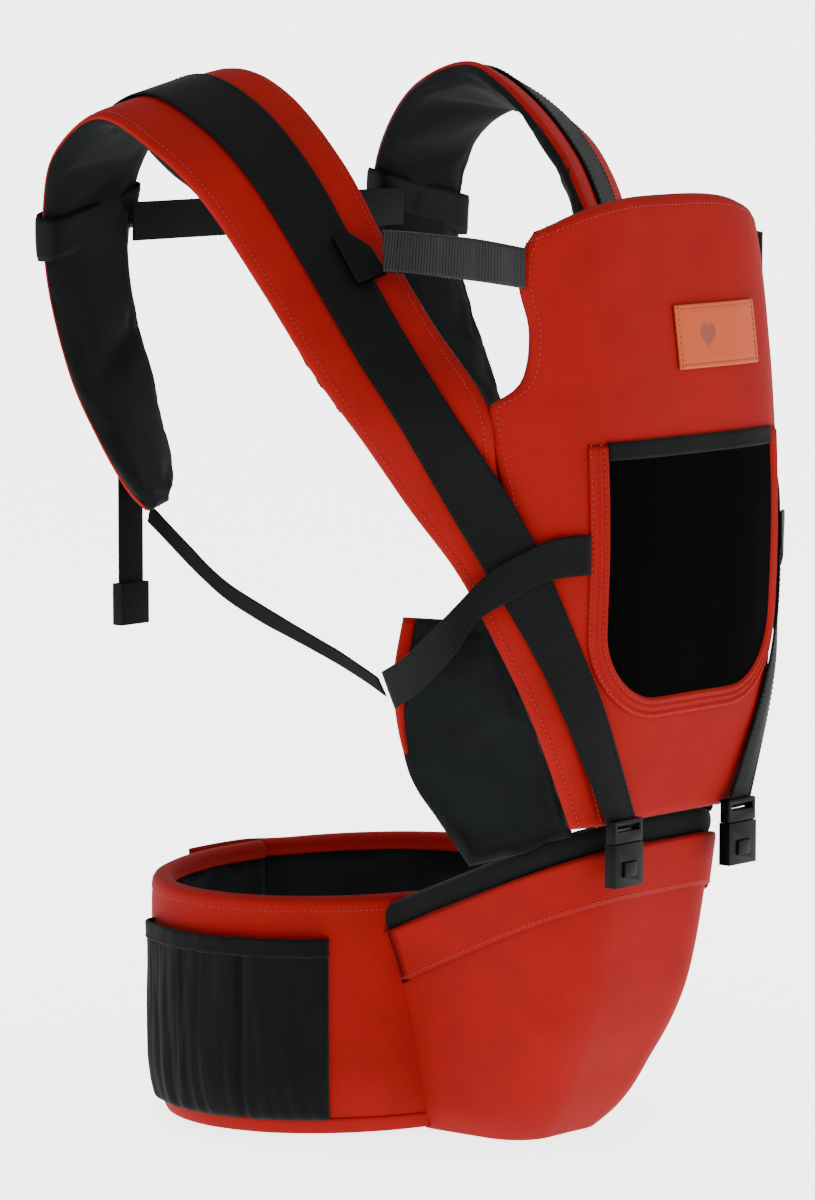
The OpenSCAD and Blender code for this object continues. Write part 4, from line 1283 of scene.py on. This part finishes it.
    def top_pad(self) -> None:
        """Makes the black pad on the seat's sloping top."""
        rim = self.outline(self.front_y, self.half_w, self.top_r, self.plane_height, 0.6)
        centre = np.array([0.0, -25.0, self.plane_height(-25.0)])
        rings = []
        for share, depth in ((0.02, 1.0), (0.3, 1.0), (0.6, 1.0), (0.85, 1.0), (0.97, 0.97)):
            rings.append(centre + (rim - centre) * share - [0, 0, self.pad_t * depth])
        for turn in np.linspace(-80, 80, 11):
            a = math.radians(turn)
            grow = 1 - 0.04 * (1 - math.cos(a))
            rings.append(centre + (rim - centre) * grow - [0, 0, self.pad_t * (0.5 - 0.5 * math.sin(a))])
        for share, crown in ((0.93, 2.2), (0.85, 3.6), (0.7, 4.6), (0.5, 5.2), (0.25, 5.6), (0.02, 5.8)):
            rings.append(centre + (rim - centre) * share + [0, 0, crown - 0.6])
        self.closed("seat_top_pad_cloth", np.array(rings) * MM, BLACK_KNIT, ("seat_top_pad",),
                    0.5, 41.0)


@dataclass
class Straps:
    """The crossing straps, the tail webbing, the side elastics and the bands of the back strap."""

    stitcher: Stitcher
    shoulder: ShoulderStraps
    body: str = "carrier"
    web_t: float = 1.6
    cross: tuple = (
        ((-96, -121, 401), (-96, -121, 376)),
        ((-116, -108, 399), (-118, -106, 373)),
        ((-131, -96, 391), (-135, -92, 362)),
        ((-145, -80, 378), (-150, -76, 349)),
        ((-157, -58, 352), (-158, -66, 329)),
        ((-155, -25, 325), (-156, -38, 304)),
        ((-149, 2, 311), (-150, -10, 289)),
    )
    tail: tuple = (
        ((-149, 4, 307), (-146, -1, 295)),
        ((-151, 28, 319), (-148, 26, 308)),
        ((-153, 60, 332), (-152, 58, 321)),
        ((-155, 95, 346), (-154, 95, 334)),
        ((-157, 128, 361), (-157, 126, 348)),
        ((-159, 154, 380), (-160, 152, 366)),
        ((-159, 178, 397), (-163, 177, 386)),
        ((-159, 188, 404), (-163, 187, 393)),
    )
    elastic: tuple = (
        ((-118.5, -88, 576), (-118.5, -88, 551)),
        ((-121, -56, 580), (-122, -56, 554)),
        ((-121, -20, 582), (-123, -20, 556)),
        ((-121, 12, 583), (-125, 8, 557)),
        ((-123, 24, 583), (-127, 19, 557)),
    )
    band_ribs: tuple[float, float] = (12.19, 12.74)

    def build(self) -> None:
        """Makes every strap."""
        self.pair("cross_strap_tape", self.cross, 4.0, BLACK_WEBBING, ("cross_straps",), "black_webbing", 0.3)
        self.pair("tail_webbing_tape", self.tail, 4.0, BLACK_WEBBING, ("tail_webbings",), "black_webbing", 0.5)
        self.pair("side_elastic_tape", self.elastic, 0.6, RIBBED_ELASTIC, ("side_elastics",),
                  "ribbed_elastic", 0.3, ribs=2.4)
        self.bands()

    def pair(self, name: str, run: tuple, step: float, finish: Fabric, nodes: tuple[str, ...], slot: str,
             wave: float, ribs: float = 0.0) -> None:
        """Makes one tape on each side as one piece.

        Args:
            name: The piece's name.
            run: Pairs of edge points of the right tape, in millimetres.
            step: The spacing of its rows.
            finish: The textile.
            nodes: The CAD nodes that it stands for.
            slot: The record's material slot; not used.
            wave: The height of its soft waves.
            ribs: The spacing of raised ribs, or 0 for none.
        """
        tapes = []
        for side in Side:
            surface = Surface.through(run, step, edge_shares(11, 0.7)).on(side)
            lift = wave * ripple(surface.points, 22, 43.0)
            if ribs:
                lift = lift + 0.35 * np.cos(surface.spans()[0] / MM * 2 * math.pi / ribs)
            tapes.append(webbing(f"{name}_{side.value}", surface, 0.0, self.web_t, finish, lift).obj)
        wear(join(name, tapes), self.body, nodes)

    def bands(self) -> None:
        """Makes the two bands that hold the back strap round the shoulder straps."""
        loops = []
        ribs = np.array(self.shoulder.ribs, float)
        pair = curve_through(ribs, np.linspace(*self.band_ribs, 9))
        for side in Side:
            outer, inner = pair[:, 0], pair[:, 1]
            wide = (inner - outer) / np.linalg.norm(inner - outer, axis=1, keepdims=True)
            long = np.gradient(pair.mean(axis=1), axis=0)
            depth = np.cross(long, wide)
            depth /= np.linalg.norm(depth, axis=1, keepdims=True)
            low, high, over = -3.6, self.shoulder.thickness + 1.4, 2.4
            half_w = np.linalg.norm(inner - outer, axis=1, keepdims=True) / 2 + over
            mid = (outer + inner) / 2
            deep = (high - low) / 2
            centre = mid + depth * (low + high) / 2
            columns = []
            for a in np.radians(np.linspace(-96, 276, 63)):
                c, s = math.cos(a), math.sin(a)
                x = math.copysign(abs(c) ** 0.22, c)
                y = math.copysign(abs(s) ** 0.5, s)
                columns.append(centre + wide * half_w * x + depth * deep * y)
            grid = Surface(np.array(columns).transpose(1, 0, 2) * MM).on(side)
            lift = 0.25 * ripple(grid.points, 20, 47.0)
            loops.append(webbing(f"band_{side.value}", grid, -0.8, 0.8, BLACK_WEBBING, lift).obj)
        wear(join("back_band_tape", loops), self.body, ("back_bands",))


@dataclass
class Fittings:
    """The moulded buckles and locks, and the short webbing on them, shaped by their CAD nodes."""

    bevel: float = 0.7
    plastic: tuple[tuple[str, str], ...] = (
        ("seat_buckle_female_right", "hip_seat"), ("seat_buckle_female_left", "hip_seat"),
        ("release_button_right", "release_right"), ("release_button_left", "release_left"),
        ("seat_buckle_male_right", "carrier"), ("seat_buckle_male_left", "carrier"),
        ("ladder_locks", "carrier"), ("tip_locks", "carrier"),
        ("belt_buckle_female", "hip_seat"), ("belt_buckle_male", "belt_buckle"),
        ("belt_prong_upper", "belt_prong_a"), ("belt_prong_lower", "belt_prong_b"),
        ("back_buckle_female", "carrier"), ("back_buckle_male", "back_buckle"),
        ("back_prong_upper", "back_prong_a"), ("back_prong_lower", "back_prong_b"),
    )
    tapes: tuple[tuple[str, str, str], ...] = (
        ("belt_anchor_webbing", "hip_seat", "black_webbing"), ("seat_buckle_tabs", "hip_seat", "black_webbing"),
        ("belt_adjust_webbing", "belt_buckle", "black_webbing"),
        ("back_webbing_right", "carrier", "black_webbing"), ("back_webbing_left", "back_buckle", "black_webbing"),
        ("loose_tail_right", "tail_right", "black_webbing"), ("loose_tail_left", "tail_left", "black_webbing"),
        ("hook_patch", "hip_seat", "hook_and_loop"), ("loop_patch", "hip_seat", "hook_and_loop"),
    )

    def build(self) -> None:
        """Makes every fitting and short tape."""
        for node, body in self.plastic:
            self.eased(node, body, f"{node}_moulding", BLACK_ACETAL, "buckle_plastic", self.bevel)
        for node, body, slot in self.tapes:
            finish = HOOK_PILE if slot == "hook_and_loop" else BLACK_WEBBING
            self.eased(node, body, f"{node}_tape", finish, slot, 0.4)

    @staticmethod
    def eased(node: str, body: str, name: str, finish: Fabric | SolidFinish, slot: str, bevel: float) -> None:
        """Copies a CAD node, eases its edges and gives it a UV map by its place.

        Args:
            node: The CAD node.
            body: The body that it rides on.
            name: The new piece's name.
            finish: The finish.
            slot: The record's material slot; not used.
            bevel: The width of the eased edges in millimetres.
        """
        shape = bmesh.new()
        shape.from_mesh(frame["nodes"][node].data)
        bmesh.ops.remove_doubles(shape, verts=shape.verts, dist=1e-6)
        bmesh.ops.dissolve_limit(shape, angle_limit=math.radians(1), verts=shape.verts, edges=shape.edges)
        sharp = [e for e in shape.edges if len(e.link_faces) == 2 and e.calc_face_angle() > math.radians(28)]
        bmesh.ops.bevel(shape, geom=sharp, offset=bevel * MM, segments=3, profile=0.5, affect="EDGES",
                        clamp_overlap=True)
        bmesh.ops.recalc_face_normals(shape, faces=shape.faces)
        layer = shape.loops.layers.uv.new("cloth")
        for face in shape.faces:
            for loop in face.loops:
                x, y, z = loop.vert.co
                loop[layer].uv = (x + y, z)
        mesh = bpy.data.meshes.new(name)
        shape.to_mesh(mesh)
        shape.free()
        mesh.materials.append(MATERIALS[finish.name])
        mesh.shade_smooth()
        obj = bpy.data.objects.new(name, mesh)
        bpy.context.scene.collection.objects.link(obj)
        wear(obj, body, (node,))


# ---------------------------------------------------------------- the studio


@dataclass
class Studio:
    """The pale floor, the soft lights and the camera."""

    camera_at: tuple[float, float, float] = (-2911, -2383, 784)
    aim: tuple[float, float, float] = (-26.0, 86.6, 338.4)
    lens: float = 177.84
    floor_size: float = 400.0
    glow: float = 3.2

    def build(self) -> None:
        """Makes the studio."""
        camera = bpy.data.cameras.new("camera")
        camera.lens = self.lens
        camera.clip_end = 400
        eye = bpy.data.objects.new("camera", camera)
        eye.location = Vector(self.camera_at) * MM
        look = (Vector(self.aim) - Vector(self.camera_at)) * MM
        eye.rotation_euler = look.to_track_quat("-Z", "Y").to_euler()
        bpy.context.scene.collection.objects.link(eye)
        bpy.context.scene.camera = eye
        self.floor()
        for name, place, size, power in (("key", (-2.2, -1.6, 2.6), 2.2, 26), ("fill", (1.8, -2.4, 1.6), 2.4, 12),
                                         ("back", (0.4, 2.6, 2.4), 2.0, 10)):
            self.lamp(name, place, size, power)
        world = bpy.data.worlds.new("studio")
        world.use_nodes = True
        world.node_tree.nodes["Background"].inputs[0].default_value = linear_colour("#ffffff")
        world.node_tree.nodes["Background"].inputs[1].default_value = 1.5
        bpy.context.scene.world = world

    def floor(self) -> None:
        """Makes the glowing floor, just below the object."""
        half = self.floor_size / 2
        low = CAD_BOX[0].z - 0.0005
        verts = np.array([(-half, -half, low), (half, -half, low), (half, half, low), (-half, half, low)])
        paint = SolidFinish("floor_matt_white", "#f6f6f5", "#f4f4f3", 40.0, 0.05, 0.7)
        floor = make_object("floor", verts, [[0, 1, 2, 3]], paint.material())
        shader = next(n for n in floor.data.materials[0].node_tree.nodes if n.type == "BSDF_PRINCIPLED")
        shader.inputs["Emission Color"].default_value = linear_colour("#ffffff")
        shader.inputs["Emission Strength"].default_value = self.glow

    @staticmethod
    def lamp(name: str, place: tuple[float, float, float], size: float, power: float) -> None:
        """Adds one soft area light, turned towards the carrier."""
        light = bpy.data.lights.new(name, "AREA")
        light.size = size
        light.energy = power
        obj = bpy.data.objects.new(name, light)
        obj.location = place
        obj.rotation_euler = (Vector((0, 0.08, 0.33)) - Vector(place)).to_track_quat("-Z", "Y").to_euler()
        bpy.context.scene.collection.objects.link(obj)


def main() -> None:
    """Builds the carrier in order."""
    logging.basicConfig(level=logging.INFO, format="%(name)s: %(message)s")
    Studio().build()
    stitcher = Stitcher()
    shoulder = ShoulderStraps(stitcher)
    belt = WaistBelt(stitcher)
    for part in (shoulder, BackPanel(stitcher), Wings(stitcher), belt, Seat(stitcher, belt),
                 Straps(stitcher, shoulder), Fittings()):
        LOG.info("building %s", type(part).__name__)
        part.build()
    stitcher.sew()


if __name__ == "__main__":
    main()
